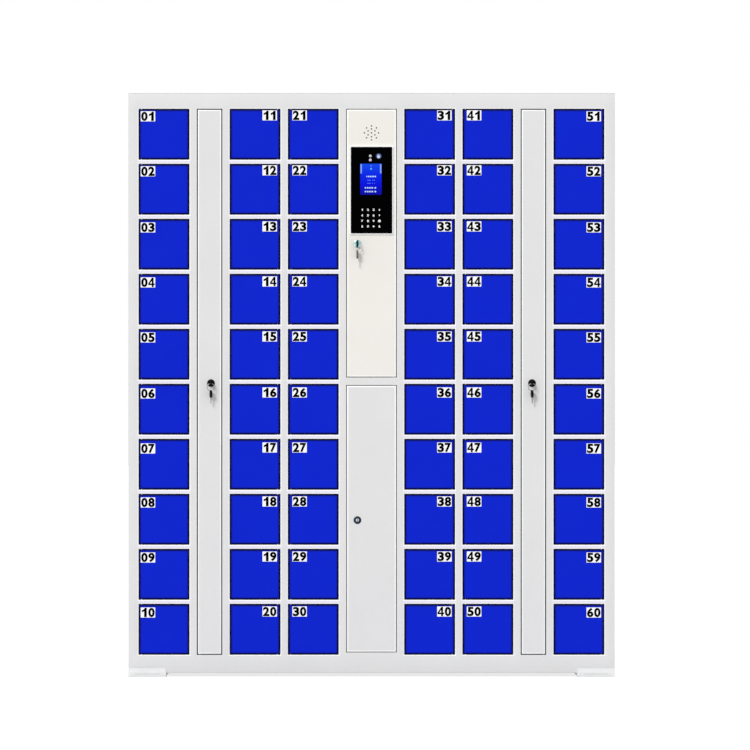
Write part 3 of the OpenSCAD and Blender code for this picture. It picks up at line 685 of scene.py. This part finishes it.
def digit_mesh(digit):
    """A bold digit about the origin, DIGIT_W wide and DIGIT_H high."""
    if digit == "1":
        return filled([centred(ONE)], DIGIT_T)
    if digit == "4":
        return filled([centred(points) for points in FOUR], DIGIT_T)
    curve = bpy.data.curves.new("digit", "FONT")
    curve.body, curve.size, curve.offset, curve.extrude = digit, DIGIT_H, BOLDER, DIGIT_T / 2
    curve.resolution_u = 4
    mesh = mesh_of_curve(curve)
    lo = [min(v.co[i] for v in mesh.vertices) for i in (0, 1)]
    hi = [max(v.co[i] for v in mesh.vertices) for i in (0, 1)]
    fit = Matrix.Diagonal((DIGIT_W / (hi[0] - lo[0]), DIGIT_H / (hi[1] - lo[1]), 1, 1))
    mesh.transform(fit @ Matrix.Translation((-(lo[0] + hi[0]) / 2, -(lo[1] + hi[1]) / 2, 0)))
    return mesh


digits = {digit: digit_mesh(digit) for digit in "0123456789"}


# Small doors: panel, pins, strike hook and number plate

PLATE_W, PLATE_H, PLATE_T = 44.8, 31.2, 0.4
# Stuck-on parts sit this little off what carries them
PLATE_GAP, DIGIT_GAP = 0.02, 0.06
# From a column's hinge edge to its hand-applied plates, and from the doors' top edges down to
# them by column and, further down, by row
PLATE_SIDE = (4.1, 8.6, 11.4, 8.4, 11.1, 8.1)
PLATE_DROP = (6.6, 3.6, 3.6, 3.6, 3.6, 6.6)
ROW_DROP = (-1.3, -1.3, 2, 2, 2, 5.1, 5.1, 2, 2, 2)
# Material slots of a door, after slot 0 for its face
EDGE_SHADE, STEEL, PLATE, INK, SOFT_SHADE = range(1, 6)
# The door's sides and rounded edge are dark navy painted shade, with a softer painted shade on a band
# inside
DOOR_PROFILE = [(0, DOOR_T, EDGE_SHADE), (0, 2.2, EDGE_SHADE), (0.5, 0.9, EDGE_SHADE), (1.2, 0.3, EDGE_SHADE),
                (3.2, 0.05, EDGE_SHADE), (7, 0, SOFT_SHADE)]


def pins(shape, rect, right, slot):
    """Pivot pins above and below a door, on its hinge side."""
    x = rect[1] - PIVOT_INSET if right else rect[0] + PIVOT_INSET
    reach, sunk, ease = PIVOT_REACH + DOOR_GAP, 1, 0.4
    for z, up in ((rect[2] + DOOR_GAP, -1), (rect[3] - DOOR_GAP, 1)):
        shape.turned([(PIVOT_R, -sunk), (PIVOT_R, reach - ease), (PIVOT_R - ease, reach), (0, reach)],
                     (x, FRONT + PIVOT_DEPTH, z), (0, 0, up), slot, 16)


def strike_hook(shape, rect, right):
    """An arm above the bolt, with a tooth behind it, welded to the door's back."""
    hook_inset, hook_t = 5, 2
    arm = [(0, 3.5), (12.5, 3.5), (12.5, -3), (16, -3), (16, 8.5), (0, 8.5)]
    x = rect[0] + hook_inset + hook_t / 2 if right else rect[1] - hook_inset - hook_t / 2
    place = Matrix(((0, 0, 1, x), (1, 0, 0, FRONT + DOOR_T), (0, 1, 0, (rect[2] + rect[3]) / 2),
                    (0, 0, 0, 1)))
    shape.mesh(filled([arm], hook_t, 0.25), place, STEEL)


def number_plate(shape, number, x, z):
    """A plate about (x, z) with its two digits."""
    shape.mesh(filled([rectangle(PLATE_W, PLATE_H, 0.8, 2)], PLATE_T, 0.1),
               upright(x, FRONT - PLATE_T / 2 - PLATE_GAP, z), PLATE)
    for n, digit in enumerate(f"{number:02d}"):
        shape.mesh(digits[digit], upright(x + (n - 0.5) * DIGIT_STEP, FRONT - PLATE_T - DIGIT_GAP, z),
                   INK)


def number_of(column, row):
    return ROWS * column + row + 1


def small_door(shape, column, row):
    """A door, hinged on the right in every other column."""
    rect = SMALL_OPENINGS[column][row]
    right = column % 2 == 1
    panel = grown(rect, -DOOR_GAP)
    shape.nested(panel, DOOR_PROFILE)
    pins(shape, rect, right, STEEL)
    strike_hook(shape, rect, right)
    side = PLATE_SIDE[column] + PLATE_W / 2
    number_plate(shape, number_of(column, row), panel[1] - side if right else panel[0] + side,
                 panel[3] - PLATE_DROP[column] - ROW_DROP[row] - PLATE_H / 2)


def door_group(node, column, rows):
    """The doors that make up a node."""
    shape = Shape(node + "_panel", DOOR_PAINT, DOOR_EDGE_SHADE, ZINC, PLATE_WHITE, PLATE_BLACK, DOOR_SOFT_SHADE)
    for row in rows:
        small_door(shape, column, row)
    shape.finish(body_of(node), node)


for column in range(len(SMALL_OPENINGS)):
    for row in range(SINGLE_ROWS):
        door_group(f"door_{number_of(column, row):02d}", column, [row])
    first, last = number_of(column, SINGLE_ROWS), number_of(column, ROWS - 1)
    door_group(f"doors_{first:02d}_to_{last}", column, range(SINGLE_ROWS, ROWS))


# Service doors: pans with a folded lip at the back, dark in the gap with painted shade on the narrow
# doors' sides, and bright at the edge with a painted highlight on the strip round every face

# Material slots of a pan
PAN_FACE, PAN_RIM_HIGHLIGHT, PAN_SIDE, PAN_BACK, PAN_PINS = range(5)
PAN_EDGE, PAN_LIP = 4.6, 9
# PAN_RIM_HIGHLIGHT is the strip round the face in painted highlight; PAN_SIDE takes the side colour,
# painted shade on the narrow doors
PAN_PROFILE = [(PAN_EDGE, SHEET, PAN_BACK), (SHEET, SHEET, PAN_BACK),
               (SHEET, DOOR_T - SHEET, PAN_BACK), (PAN_LIP, DOOR_T - SHEET, PAN_BACK),
               (PAN_LIP, DOOR_T, PAN_BACK), (0, DOOR_T, PAN_BACK), (0, 1.6, PAN_SIDE),
               (0.4, 0.8, PAN_SIDE), (1, 0.45, PAN_SIDE), (PAN_EDGE, 0, PAN_RIM_HIGHLIGHT)]
BARREL_R, BARREL_CLEAR = 8, 0.1
# The speaker's holes: one in the middle, then six and eight on circles of these radii
SPEAKER_HOLE_R, SPEAKER_INNER_R, SPEAKER_OUTER_R = 2.5, 12, 21.6
# How far the terminal's glass laps over its cut-out
GLASS_LAP = 6.5


def service_door(node, lock, rect, right, face, edge_highlight, side, *cut_outs):
    """A door with its lock's bore and more cut-outs, given as outlines."""
    shape = Shape(node + "_pan", face, edge_highlight, side, INNER_STEEL, ZINC)
    panel = grown(rect, -DOOR_GAP)
    # edge_highlight paints the highlight on the strip round the face
    shape.nested(panel, PAN_PROFILE, ring=True)
    x0, x1, z0, z1 = grown(panel, -PAN_EDGE)
    axis = middle_of(lock)
    outlines = [[(x0, z0), (x1, z0), (x1, z1), (x0, z1)],
                circle(axis.x, axis.z, BARREL_R + BARREL_CLEAR, 24), *cut_outs]
    shape.mesh(filled(outlines, SHEET), upright(0, FRONT + SHEET / 2, 0), PAN_FACE)
    pins(shape, rect, right, PAN_PINS)
    shape.finish(body_of(node), node)


def control_cut_outs():
    """The terminal's cut-out and the speaker's holes."""
    lo, hi = box_of("terminal_glass")
    terminal_hole = rectangle(hi.x - lo.x - 2 * GLASS_LAP, hi.z - lo.z - 2 * GLASS_LAP, 0, 0,
                              0, (lo.z + hi.z) / 2)
    centre = middle_of("speaker")
    places = [(0, 0)] + circle(0, 0, SPEAKER_INNER_R, 6, 30) + circle(0, 0, SPEAKER_OUTER_R, 8)
    return [terminal_hole] + [circle(centre.x + x, centre.z + z, SPEAKER_HOLE_R, 24)
                              for x, z in places]


# The narrow doors' sides in the gap are dark grey painted shade
service_door("left_service_door", "left_lock", SERVICE_OPENINGS[0], False, SERVICE_PAINT,
             SERVICE_EDGE_HIGHLIGHT, FRAME_SIDE_SHADE)
service_door("right_service_door", "right_lock", SERVICE_OPENINGS[1], True, SERVICE_PAINT,
             SERVICE_EDGE_HIGHLIGHT, FRAME_SIDE_SHADE)
service_door("lower_door", "lower_lock", LOWER_OPENING, True, SERVICE_PAINT, SERVICE_EDGE_HIGHLIGHT,
             CENTRE_SIDE)
service_door("control_door", "control_lock", CONTROL_OPENING, True, CONTROL_PAINT, CONTROL_EDGE_HIGHLIGHT,
             CENTRE_SIDE, *control_cut_outs())


# Key locks, with their keys

FLANGE_R, FLANGE_T, BARREL_L, BORE_R, PLUG_R = 12, 2, 20.3, 5.3, 5
RIM_W, EASE = 1.8, 0.4
NUT_R, NUT_T, SCREW_R, SCREW_T = 12.5, 3, 4, 2.5
CAM_Y, CAM_W, CAM_T, CAM_L = 20.9, 14, 2, 40.5
BOW_R, BOW_HOLE_R, KEY_T, BLADE_W, BLADE_L, NECK, INSERTED = 10.8, 2.8, 2.2, 7, 18, 2, 10
RING_R, RING_WIRE_R, RING_SAG = 11.5, 0.9, 1.5
# Material slots of what turns in a lock
PLUG, CAM, HEAD, BLADE, RING, SPARE_HEAD = range(6)


def lock_barrel(node, lock_metal, rim_metal):
    """The flanged barrel with a ring over its rim in rim_metal, a dark teal painted shade on the control
    lock, and the nut behind the door.
    """
    axis = middle_of(node)
    shape = Shape(node + "_barrel", lock_metal, ZINC, rim_metal)
    point = (axis.x, FRONT, axis.z)
    shape.turned([(BORE_R, BARREL_L), (BORE_R, EASE - FLANGE_T), (BORE_R + EASE, -FLANGE_T),
                  (FLANGE_R - 1.4, -FLANGE_T), (FLANGE_R - 0.3, 0.7 - FLANGE_T), (FLANGE_R, 0),
                  (BARREL_R, 0), (BARREL_R, BARREL_L - 0.5), (BARREL_R - 0.5, BARREL_L),
                  (BORE_R, BARREL_L)], point, (0, 1, 0))
    shape.turned([(FLANGE_R - RIM_W, -FLANGE_T - 0.03), (FLANGE_R - 0.3, 0.67 - FLANGE_T),
                  (FLANGE_R + 0.03, -0.02), (FLANGE_R - RIM_W, -0.02),
                  (FLANGE_R - RIM_W, -FLANGE_T - 0.03)], point, (0, 1, 0), 2)
    nut = [circle(0, 0, NUT_R, 6), circle(0, 0, BARREL_R + 0.15, 24)]
    shape.mesh(filled(nut, NUT_T, EASE), upright(axis.x, FRONT + SHEET + NUT_T / 2, axis.z), 1)
    shape.finish(body_of(node), node)
    return axis


def turning_parts(shape, axis):
    """Plug, cam and cam screw."""
    shape.turned([(0, -FLANGE_T), (PLUG_R - EASE, -FLANGE_T), (PLUG_R, EASE - FLANGE_T),
                  (PLUG_R, CAM_Y), (0, CAM_Y)], (axis.x, FRONT, axis.z), (0, 1, 0), PLUG, 32)
    half, tip = CAM_W / 2, CAM_W / 4
    outline = arc(0, 0, half, 0, 180, 16) + [(-half, tip - CAM_L), (-tip, tip - CAM_L),
                                             (-tip, -CAM_L), (tip, -CAM_L), (tip, tip - CAM_L),
                                             (half, tip - CAM_L)]
    shape.mesh(filled([outline], CAM_T, 0.3), upright(axis.x, FRONT + CAM_Y + CAM_T / 2, axis.z), CAM)
    shape.mesh(filled([circle(0, 0, SCREW_R, 6)], SCREW_T, EASE),
               upright(axis.x, FRONT + CAM_Y + CAM_T + SCREW_T / 2 + 0.05, axis.z), CAM)


def key(shape, place, blade_l, hole_back, head, head_t, half_l=BOW_R):
    """A key: its bow round the origin of place, its blade along X."""
    hole = circle(-hole_back, 0, BOW_HOLE_R, 24)
    bow = [(x * half_l / BOW_R, y) for x, y in circle(0, 0, BOW_R, 48)]
    shape.mesh(filled([bow, hole], head_t, 0.5), place, head)
    start, end, half = half_l - 1, half_l + blade_l, BLADE_W / 2
    cuts = [(end - 2, 0.6 - half), (end - 5, 1.6 - half), (end - 7, 0.4 - half), (end - 9, 2 - half),
            (end - 11, 0.8 - half)]
    outline = ([(start, -half), (start, half), (end - 2, half), (end, half - 2), (end, 1.4 - half)]
               + [cut for cut in cuts if cut[0] > start + 1])
    shape.mesh(filled([outline], KEY_T - 0.4, 0.2), place, BLADE)


def key_set(shape, axis, head_t, spare_t, spare_half_l, spare_turn):
    """The key in the lock, its ring and the spare key that hangs from it."""
    bow_y = FRONT - FLANGE_T - NECK - BOW_R
    drop = RING_SAG + RING_R
    inwards = Matrix(((0, 0, 1, axis.x), (1, 0, 0, bow_y), (0, 1, 0, axis.z), (0, 0, 0, 1)))
    key(shape, inwards, NECK + INSERTED, 0, HEAD, head_t)
    wire = circle(RING_R, 0, RING_WIRE_R, 12)
    shape.turned(wire + wire[:1], (axis.x, bow_y, axis.z - drop), (0, 1, 0), RING)
    spare_rise = BOW_R - BOW_HOLE_R - RING_WIRE_R
    down = Matrix(((0, 0, -1, 0), (0, -1, 0, 0), (-1, 0, 0, 0), (0, 0, 0, 1)))
    hanging = (Matrix.Translation((axis.x, bow_y, axis.z - 2 * drop - spare_rise))
               @ Matrix.Rotation(math.radians(spare_turn), 4, "Z") @ down)
    key(shape, hanging, BLADE_L, spare_rise, SPARE_HEAD, spare_t, spare_half_l)


def keyed(side, lock_metal, rim_metal, head, spare_head, blade, ring, **key_sizes):
    """A lock with its keys. The arguments from lock_metal to ring are materials."""
    axis = lock_barrel(side + "_lock", lock_metal, rim_metal)
    shape = Shape(side + "_key_set", lock_metal, ZINC, head, blade, ring, spare_head)
    turning_parts(shape, axis)
    key_set(shape, axis, **key_sizes)
    shape.finish(body_of(side + "_key"), side + "_key")


def lower_lock():
    """A lock without a key, its plug slotted."""
    axis = lock_barrel("lower_lock", LOCK_DARK, LOCK_DARK)
    shape = Shape("lower_plug_face", PLUG_STEEL, ZINC, LOCK_DARK)
    turning_parts(shape, axis)
    slot_half_w, slot_half_h = 1, 3.4
    shape.box((axis.x - slot_half_w, FRONT - FLANGE_T - 0.05, axis.z - slot_half_h),
              (axis.x + slot_half_w, FRONT - FLANGE_T + 0.3, axis.z + slot_half_h), slot=2)
    shape.finish(body_of("lower_plug"), "lower_plug")


for side in ("left", "right"):
    keyed(side, LOCK_BLACK, LOCK_BLACK, KEY_BLACK, KEY_BLACK, KEY_STEEL, RING_STEEL,
          head_t=5, spare_t=6.5, spare_half_l=11.5, spare_turn=8)
# The control lock's chrome carries a painted teal reflection and its rim painted shade
keyed("control", LOCK_CHROME_TEAL_REFLECTION, LOCK_RIM_SHADE, KEY_DARK, KEY_GREY, KEY_LIGHT, RING_LIGHT,
      head_t=6.2, spare_t=5, spare_half_l=13, spare_turn=4)
lower_lock()


# Control terminal

TERMINAL_BODY = body_of("terminal_glass")
GLASS_LO, GLASS_HI = box_of("terminal_glass")
GLASS_X, GLASS_Z = (GLASS_LO.x + GLASS_HI.x) / 2, (GLASS_LO.z + GLASS_HI.z) / 2
GLASS_FACE, GLASS_T = GLASS_LO.y, GLASS_HI.y - GLASS_LO.y
# The glass is a little wider and higher than the CAD's
GLASS_W, GLASS_H = GLASS_HI.x - GLASS_LO.x + 1.2, GLASS_HI.z - GLASS_LO.z + 1
GASKET_W, GASKET_T = 4, 0.65 * (FRONT - GLASS_FACE)
CAMERA_R, CAMERA_DEPTH = 9, 15
LENS_PLACE = middle_of("camera")
# The display's lit part is smaller than its body
DISPLAY_LO, DISPLAY_HI = box_of("display")
SCREEN_W, SCREEN_H = DISPLAY_HI.x - DISPLAY_LO.x - 5.6, DISPLAY_HI.z - DISPLAY_LO.z - 8
SCREEN_X, SCREEN_Z = -1.8, (DISPLAY_LO.z + DISPLAY_HI.z) / 2 - 0.5
SCREEN_SUNK = 0.3
BAR_W, BAR_H, BAR_SIDE, BAR_DROP = 4.6, 29, 0.8, 1.4
# Material slots of the screen, after slot 0 for its lit face
BODY, BAR, CYAN, WHITE, DIM = range(1, 6)
# Plain marks in place of signs and words. x and drop run from the screen's top middle to a mark's
# middle. Signs are (x, drop, width, height, slot), lines (drop, height, slot, words) and words
# (x, width)
SCREEN_SIGNS = ((0.2, 6.4, 6, 1.8, DIM), (0.2, 8.6, 2.6, 2, DIM), (0.6, 16, 5.4, 5.2, CYAN))
MENU_WORDS = ((-17, 3.6), (-11, 3.6), (-5.4, 3.8), (0.2, 3.6), (5.2, 3.2), (13.6, 5))
TITLE_WORDS = ((-13, 2.4), (-7.5, 4), (-2, 4), (3.6, 3.6), (8.6, 3.6), (13.8, 3.8))
SCREEN_LINES = ((39.5, 4.2, WHITE, TITLE_WORDS),
                (51, 2.4, DIM, ((-9.6, 2), (-6.4, 3), (-2.6, 3.2), (6, 3), (10.4, 2.6))),
                (60.5, 2.4, DIM, ((-9.4, 2.6), (-5.6, 3), (-2, 2), (4.6, 2.2), (11.4, 1.6))),
                (74.5, 4.6, WHITE, MENU_WORDS), (86, 4.6, WHITE, MENU_WORDS))
SENSOR_X, SENSOR_R, SENSOR_ZS = -3.6, 4.3, (1605.8, 1593.2)
KEYPAD_XS, KEYPAD_ZS = (-28.7, -10.8, 6.5, 24.4), (1439.9, 1422.6, 1405.4, 1388.7)
KEYPAD_ROWS, KEYPAD_DIGIT_W, KEYPAD_DIGIT_H = ("123", "456", "789", " 0 "), 6, 7
ARROW = [(-1.6, -3), (1.6, -3), (2, 0), (0, 3), (-2, 0)]
# The keypad's signs as (column, row, outline)
KEYPAD_SIGNS = ((3, 0, ARROW), (3, 1, [(x, -y) for x, y in ARROW]), (3, 2, circle(0, 0, 4.2, 24)),
                (0, 3, [(-2.6, -3.4), (2.6, -3.4), (1.4, 3.4), (-1.4, 3.4)]),
                (2, 3, circle(0, 0, 2.8, 24)),
                (3, 3, [(-2.6, -3.4), (3, -3.4), (0.8, 3.4), (-2.4, 2.6)]))


def terminal_front():
    """The black glass, with the screen's window and the camera's bore."""
    glass = Shape("terminal_front", GLASS_BLACK)
    window = rectangle(SCREEN_W, SCREEN_H, 0.6, 3, SCREEN_X - GLASS_X, SCREEN_Z - GLASS_Z)
    bore = circle(LENS_PLACE.x - GLASS_X, LENS_PLACE.z - GLASS_Z, CAMERA_R + 0.15, 48)
    glass.mesh(filled([rectangle(GLASS_W, GLASS_H, 2, 8), window, bore], GLASS_T, 0.35),
               upright(GLASS_X, GLASS_FACE + GLASS_T / 2, GLASS_Z))
    glass.finish(TERMINAL_BODY, "terminal_glass")


def terminal_gasket():
    gasket = Shape("terminal_gasket", GASKET)
    outside = rectangle(GLASS_W + 2 * GASKET_W, GLASS_H + 2 * GASKET_W, 3, 6)
    gasket.mesh(filled([outside, rectangle(GLASS_W, GLASS_H, 2, 8)], GASKET_T, 0.2),
                upright(GLASS_X, FRONT - GASKET_T / 2, GLASS_Z))
    gasket.finish(TERMINAL_BODY)


def lit_screen():
    """The display's body and its lit face with plain marks."""
    screen = Shape("lit_screen", SCREEN_BLUE, HOUSING, SCREEN_SIDE, SCREEN_CYAN, SCREEN_WHITE, SCREEN_DIM)
    screen.box(DISPLAY_LO, DISPLAY_HI, slot=BODY)
    face = GLASS_FACE + SCREEN_SUNK
    half_w, half_h = SCREEN_W / 2 - 0.1, SCREEN_H / 2 - 0.1
    screen.box((SCREEN_X - half_w, face, SCREEN_Z - half_h),
               (SCREEN_X + half_w, DISPLAY_LO.y, SCREEN_Z + half_h))

    def mark(x, drop, wide, high, slot):
        screen.mesh(filled([rectangle(wide, high, min(wide, high) * 0.3, 3)], 0.1),
                    upright(SCREEN_X + x, face - 0.05, SCREEN_Z + SCREEN_H / 2 - drop), slot)

    for side in (-1, 1):
        mark(side * (SCREEN_W / 2 - BAR_W / 2 - BAR_SIDE), BAR_H / 2 + BAR_DROP, BAR_W, BAR_H, BAR)
    for sign in SCREEN_SIGNS:
        mark(*sign)
    for drop, high, slot, words in SCREEN_LINES:
        for x, wide in words:
            mark(x, drop, wide, high, slot)
    screen.finish(TERMINAL_BODY, "display")


def terminal_marks():
    """Two sensors, and the keypad's digits and signs."""
    marks = Shape("terminal_marks", INK_WHITE, SENSOR, SENSOR_PINK)
    for slot, z in enumerate(SENSOR_ZS, 1):
        marks.turned([(SENSOR_R, 0.2), (SENSOR_R, -0.1), (SENSOR_R - 0.8, -0.5),
                      (SENSOR_R * 0.5, -0.8), (0, -0.9)], (SENSOR_X, GLASS_FACE, z), (0, 1, 0), slot, 32)
    size = Matrix.Diagonal((KEYPAD_DIGIT_W / DIGIT_W, KEYPAD_DIGIT_H / DIGIT_H, 1, 1))
    for z, keys in zip(KEYPAD_ZS, KEYPAD_ROWS):
        for x, digit in zip(KEYPAD_XS, keys):
            if digit != " ":
                marks.mesh(digits[digit], upright(x, GLASS_FACE - 0.05, z) @ size)
    for column, row, outline in KEYPAD_SIGNS:
        marks.mesh(filled([outline], 0.15), upright(KEYPAD_XS[column], GLASS_FACE - 0.05, KEYPAD_ZS[row]))
    marks.finish(TERMINAL_BODY)


def camera_eye():
    """The camera's bezel, its domed lens and the bright spot low on it, a painted glint."""
    eye = Shape("camera_eye", BEZEL, LENS, LENS_GLINT)
    point = (LENS_PLACE.x, GLASS_FACE, LENS_PLACE.z)
    front, sunk = -0.15, 0.65
    eye.turned([(0, CAMERA_DEPTH), (CAMERA_R, CAMERA_DEPTH), (CAMERA_R, front + 0.4),
                (CAMERA_R - 0.4, front), (CAMERA_R - 1.6, front), (CAMERA_R - 2.4, sunk), (0, sunk)],
               point, (0, 1, 0))
    lens_r, lens_rise = CAMERA_R - 2.6, 2
    dome = [(x, sunk - y * lens_rise / lens_r) for x, y in arc(0, 0, lens_r, 0, 90, 8)]
    eye.turned(dome, point, (0, 1, 0), 1)
    # The painted glint
    eye.turned([(4.6, front - 0.4), (4.2, front - 1.1), (2.2, front - 1.6), (0, front - 1.7)],
               (LENS_PLACE.x, GLASS_FACE, LENS_PLACE.z - 2.2), (0, 1, 0), 2, 24)
    eye.finish(body_of("camera"), "camera")


terminal_front()
terminal_gasket()
lit_screen()
terminal_marks()
camera_eye()


# Materials of the CAD nodes that stay as they are

EASE_ANGLE = 50
BOARD_FACE = BACK - SHEET - 8
# The box round the power inlet's contacts: half its width and height, its middle above the sill,
# and its reach into the cabinet and out of the back
CONTACTS_HALF_W, CONTACTS_HALF_H, CONTACTS_RISE, CONTACTS_IN, CONTACTS_OUT = 9, 5, 84, 14, 1.5


def dress(node, *materials, pick=None, ease=0):
    """Gives a CAD node its materials. pick(centre of a face in mm) says which. ease rounds edges."""
    piece = nodes[node]
    piece.data.materials.clear()
    for material in materials:
        piece.data.materials.append(material)
    for face in piece.data.polygons:
        face.material_index = pick(face.center / MM) if pick else 0
    if ease:
        weld = piece.modifiers.new("weld", "WELD")
        weld.merge_threshold = 0.00001
        bevel = piece.modifiers.new("ease", "BEVEL")
        bevel.width, bevel.segments, bevel.limit_method = ease * MM, 2, "ANGLE"
        bevel.angle_limit, bevel.use_clamp_overlap = math.radians(EASE_ANGLE), True


def on_strip(point):
    """1 on the connectors in front of a lock board's face."""
    return int(point.y < BOARD_FACE - 0.01)


def on_contact(point):
    """1 on the power inlet's contacts."""
    return int(abs(point.x) < CONTACTS_HALF_W and abs(point.z - LOW - CONTACTS_RISE) < CONTACTS_HALF_H
               and BACK - CONTACTS_IN < point.y < BACK + CONTACTS_OUT)


dress("top_panel", FRAME_PAINT, ease=0.4)
dress("base_panel", FRAME_PAINT, ease=0.4)
dress("back_panel", FRAME_PAINT)
dress("walls", INNER_STEEL)
dress("shelves", INNER_STEEL)
dress("lock_cases", CASE_DARK, ease=0.8)
dress("bolts_left_facing", BOLT_STEEL, ease=0.5)
dress("bolts_right_facing", BOLT_STEEL, ease=0.5)
dress("lock_boards", BOARD_GREEN, STRIP_GREEN, pick=on_strip)
dress("wiring_ducts", DUCT_GREY)
dress("power_supply", SUPPLY_METAL, ease=1)
dress("power_inlet", SOCKET_BLACK, BRASS, pick=on_contact)
dress("terminal_housing", HOUSING)
dress("terminal_board", BOARD_GREEN)
dress("speaker", SPEAKER_DARK)


# Floor, light and camera

# Rays that see the pale background
SEEN = ("Is Camera Ray", "Is Glossy Ray", "Is Transmission Ray")
FLOOR_COLOUR, FLOOR_LIFT, FLOOR_REACH = (0.5, 0.5, 0.5, 1), 0.78, 60
WORLD_LIGHT, SUN_LIGHT, SUN_ANGLE, SUN_FROM = 0.8, 1.5, 16, (-0.55, -1, 0.75)
# Size of a pixel of the photo's frame on the cabinet's front, and the cabinet's place in it
PIXEL = 3.083
MIDDLE_PIXEL, TOP_PIXEL, FRAME_MIDDLE = 371.5, 93, 375
LENS_LENGTH, SENSOR_WIDTH, NEAREST, FURTHEST = 400, 36, 1, 200


def seen_level(tree):
    """1 for the rays in SEEN, 0 for others."""
    path = tree.nodes.new("ShaderNodeLightPath")
    level = path.outputs[SEEN[0]]
    for ray in SEEN[1:]:
        most = tree.nodes.new("ShaderNodeMath")
        most.operation = "MAXIMUM"
        tree.links.new(level, most.inputs[0])
        tree.links.new(path.outputs[ray], most.inputs[1])
        level = most.outputs[0]
    return level


def floor_material():
    """Pale floor: lit as the object is, and lifted towards white where the camera, glass or
    metal looks at it, so that the object's shadow stays."""
    data = bpy.data.materials.new("floor_pale")
    data.use_nodes = True
    tree = data.node_tree
    tree.nodes.clear()
    diffuse = tree.nodes.new("ShaderNodeBsdfDiffuse")
    diffuse.inputs[0].default_value = FLOOR_COLOUR
    emission = tree.nodes.new("ShaderNodeEmission")
    level = tree.nodes.new("ShaderNodeMath")
    level.operation = "MULTIPLY"
    level.inputs[1].default_value = FLOOR_LIFT
    tree.links.new(seen_level(tree), level.inputs[0])
    tree.links.new(level.outputs[0], emission.inputs["Strength"])
    total = tree.nodes.new("ShaderNodeAddShader")
    out = tree.nodes.new("ShaderNodeOutputMaterial")
    tree.links.new(diffuse.outputs[0], total.inputs[0])
    tree.links.new(emission.outputs[0], total.inputs[1])
    tree.links.new(total.outputs[0], out.inputs[0])
    return data


def add_floor():
    mesh = bpy.data.meshes.new("floor")
    corners = [(x * FLOOR_REACH, y * FLOOR_REACH, 0) for x, y in ((-1, -1), (1, -1), (1, 1), (-1, 1))]
    mesh.from_pydata(corners, [], [(0, 1, 2, 3)])
    mesh.materials.append(floor_material())
    new_object("floor", mesh)


def add_world():
    """Even light, which looks white where it is seen."""
    world = bpy.data.worlds.new("studio")
    bpy.context.scene.world = world
    world.use_nodes = True
    tree = world.node_tree
    background = tree.nodes["Background"]
    background.inputs["Color"].default_value = (1, 1, 1, 1)
    strength = tree.nodes.new("ShaderNodeMapRange")
    strength.inputs["To Min"].default_value = WORLD_LIGHT
    strength.inputs["To Max"].default_value = 1
    tree.links.new(seen_level(tree), strength.inputs["Value"])
    tree.links.new(strength.outputs[0], background.inputs["Strength"])


def add_sun():
    sun = bpy.data.lights.new("sun", "SUN")
    sun.energy = SUN_LIGHT
    sun.angle = math.radians(SUN_ANGLE)
    new_object("sun", sun).rotation_euler = Vector(SUN_FROM).to_track_quat("Z", "Y").to_euler()


def add_camera():
    """Looks level at the front, from so far that the photo's frame spans it at PIXEL."""
    camera = bpy.data.cameras.new("camera")
    camera.lens, camera.sensor_width = LENS_LENGTH, SENSOR_WIDTH
    camera.clip_start, camera.clip_end = NEAREST, FURTHEST
    camera_object = new_object("view", camera)
    distance = 2 * FRAME_MIDDLE * PIXEL * LENS_LENGTH / SENSOR_WIDTH
    camera_object.location = Vector(((FRAME_MIDDLE - MIDDLE_PIXEL) * PIXEL, FRONT - distance,
                                     HEIGHT - (FRAME_MIDDLE - TOP_PIXEL) * PIXEL)) * MM
    camera_object.rotation_euler = (math.pi / 2, 0, 0)
    bpy.context.scene.camera = camera_object


add_floor()
add_world()
add_sun()
add_camera()
bpy.context.scene.view_settings.view_transform = "Standard"
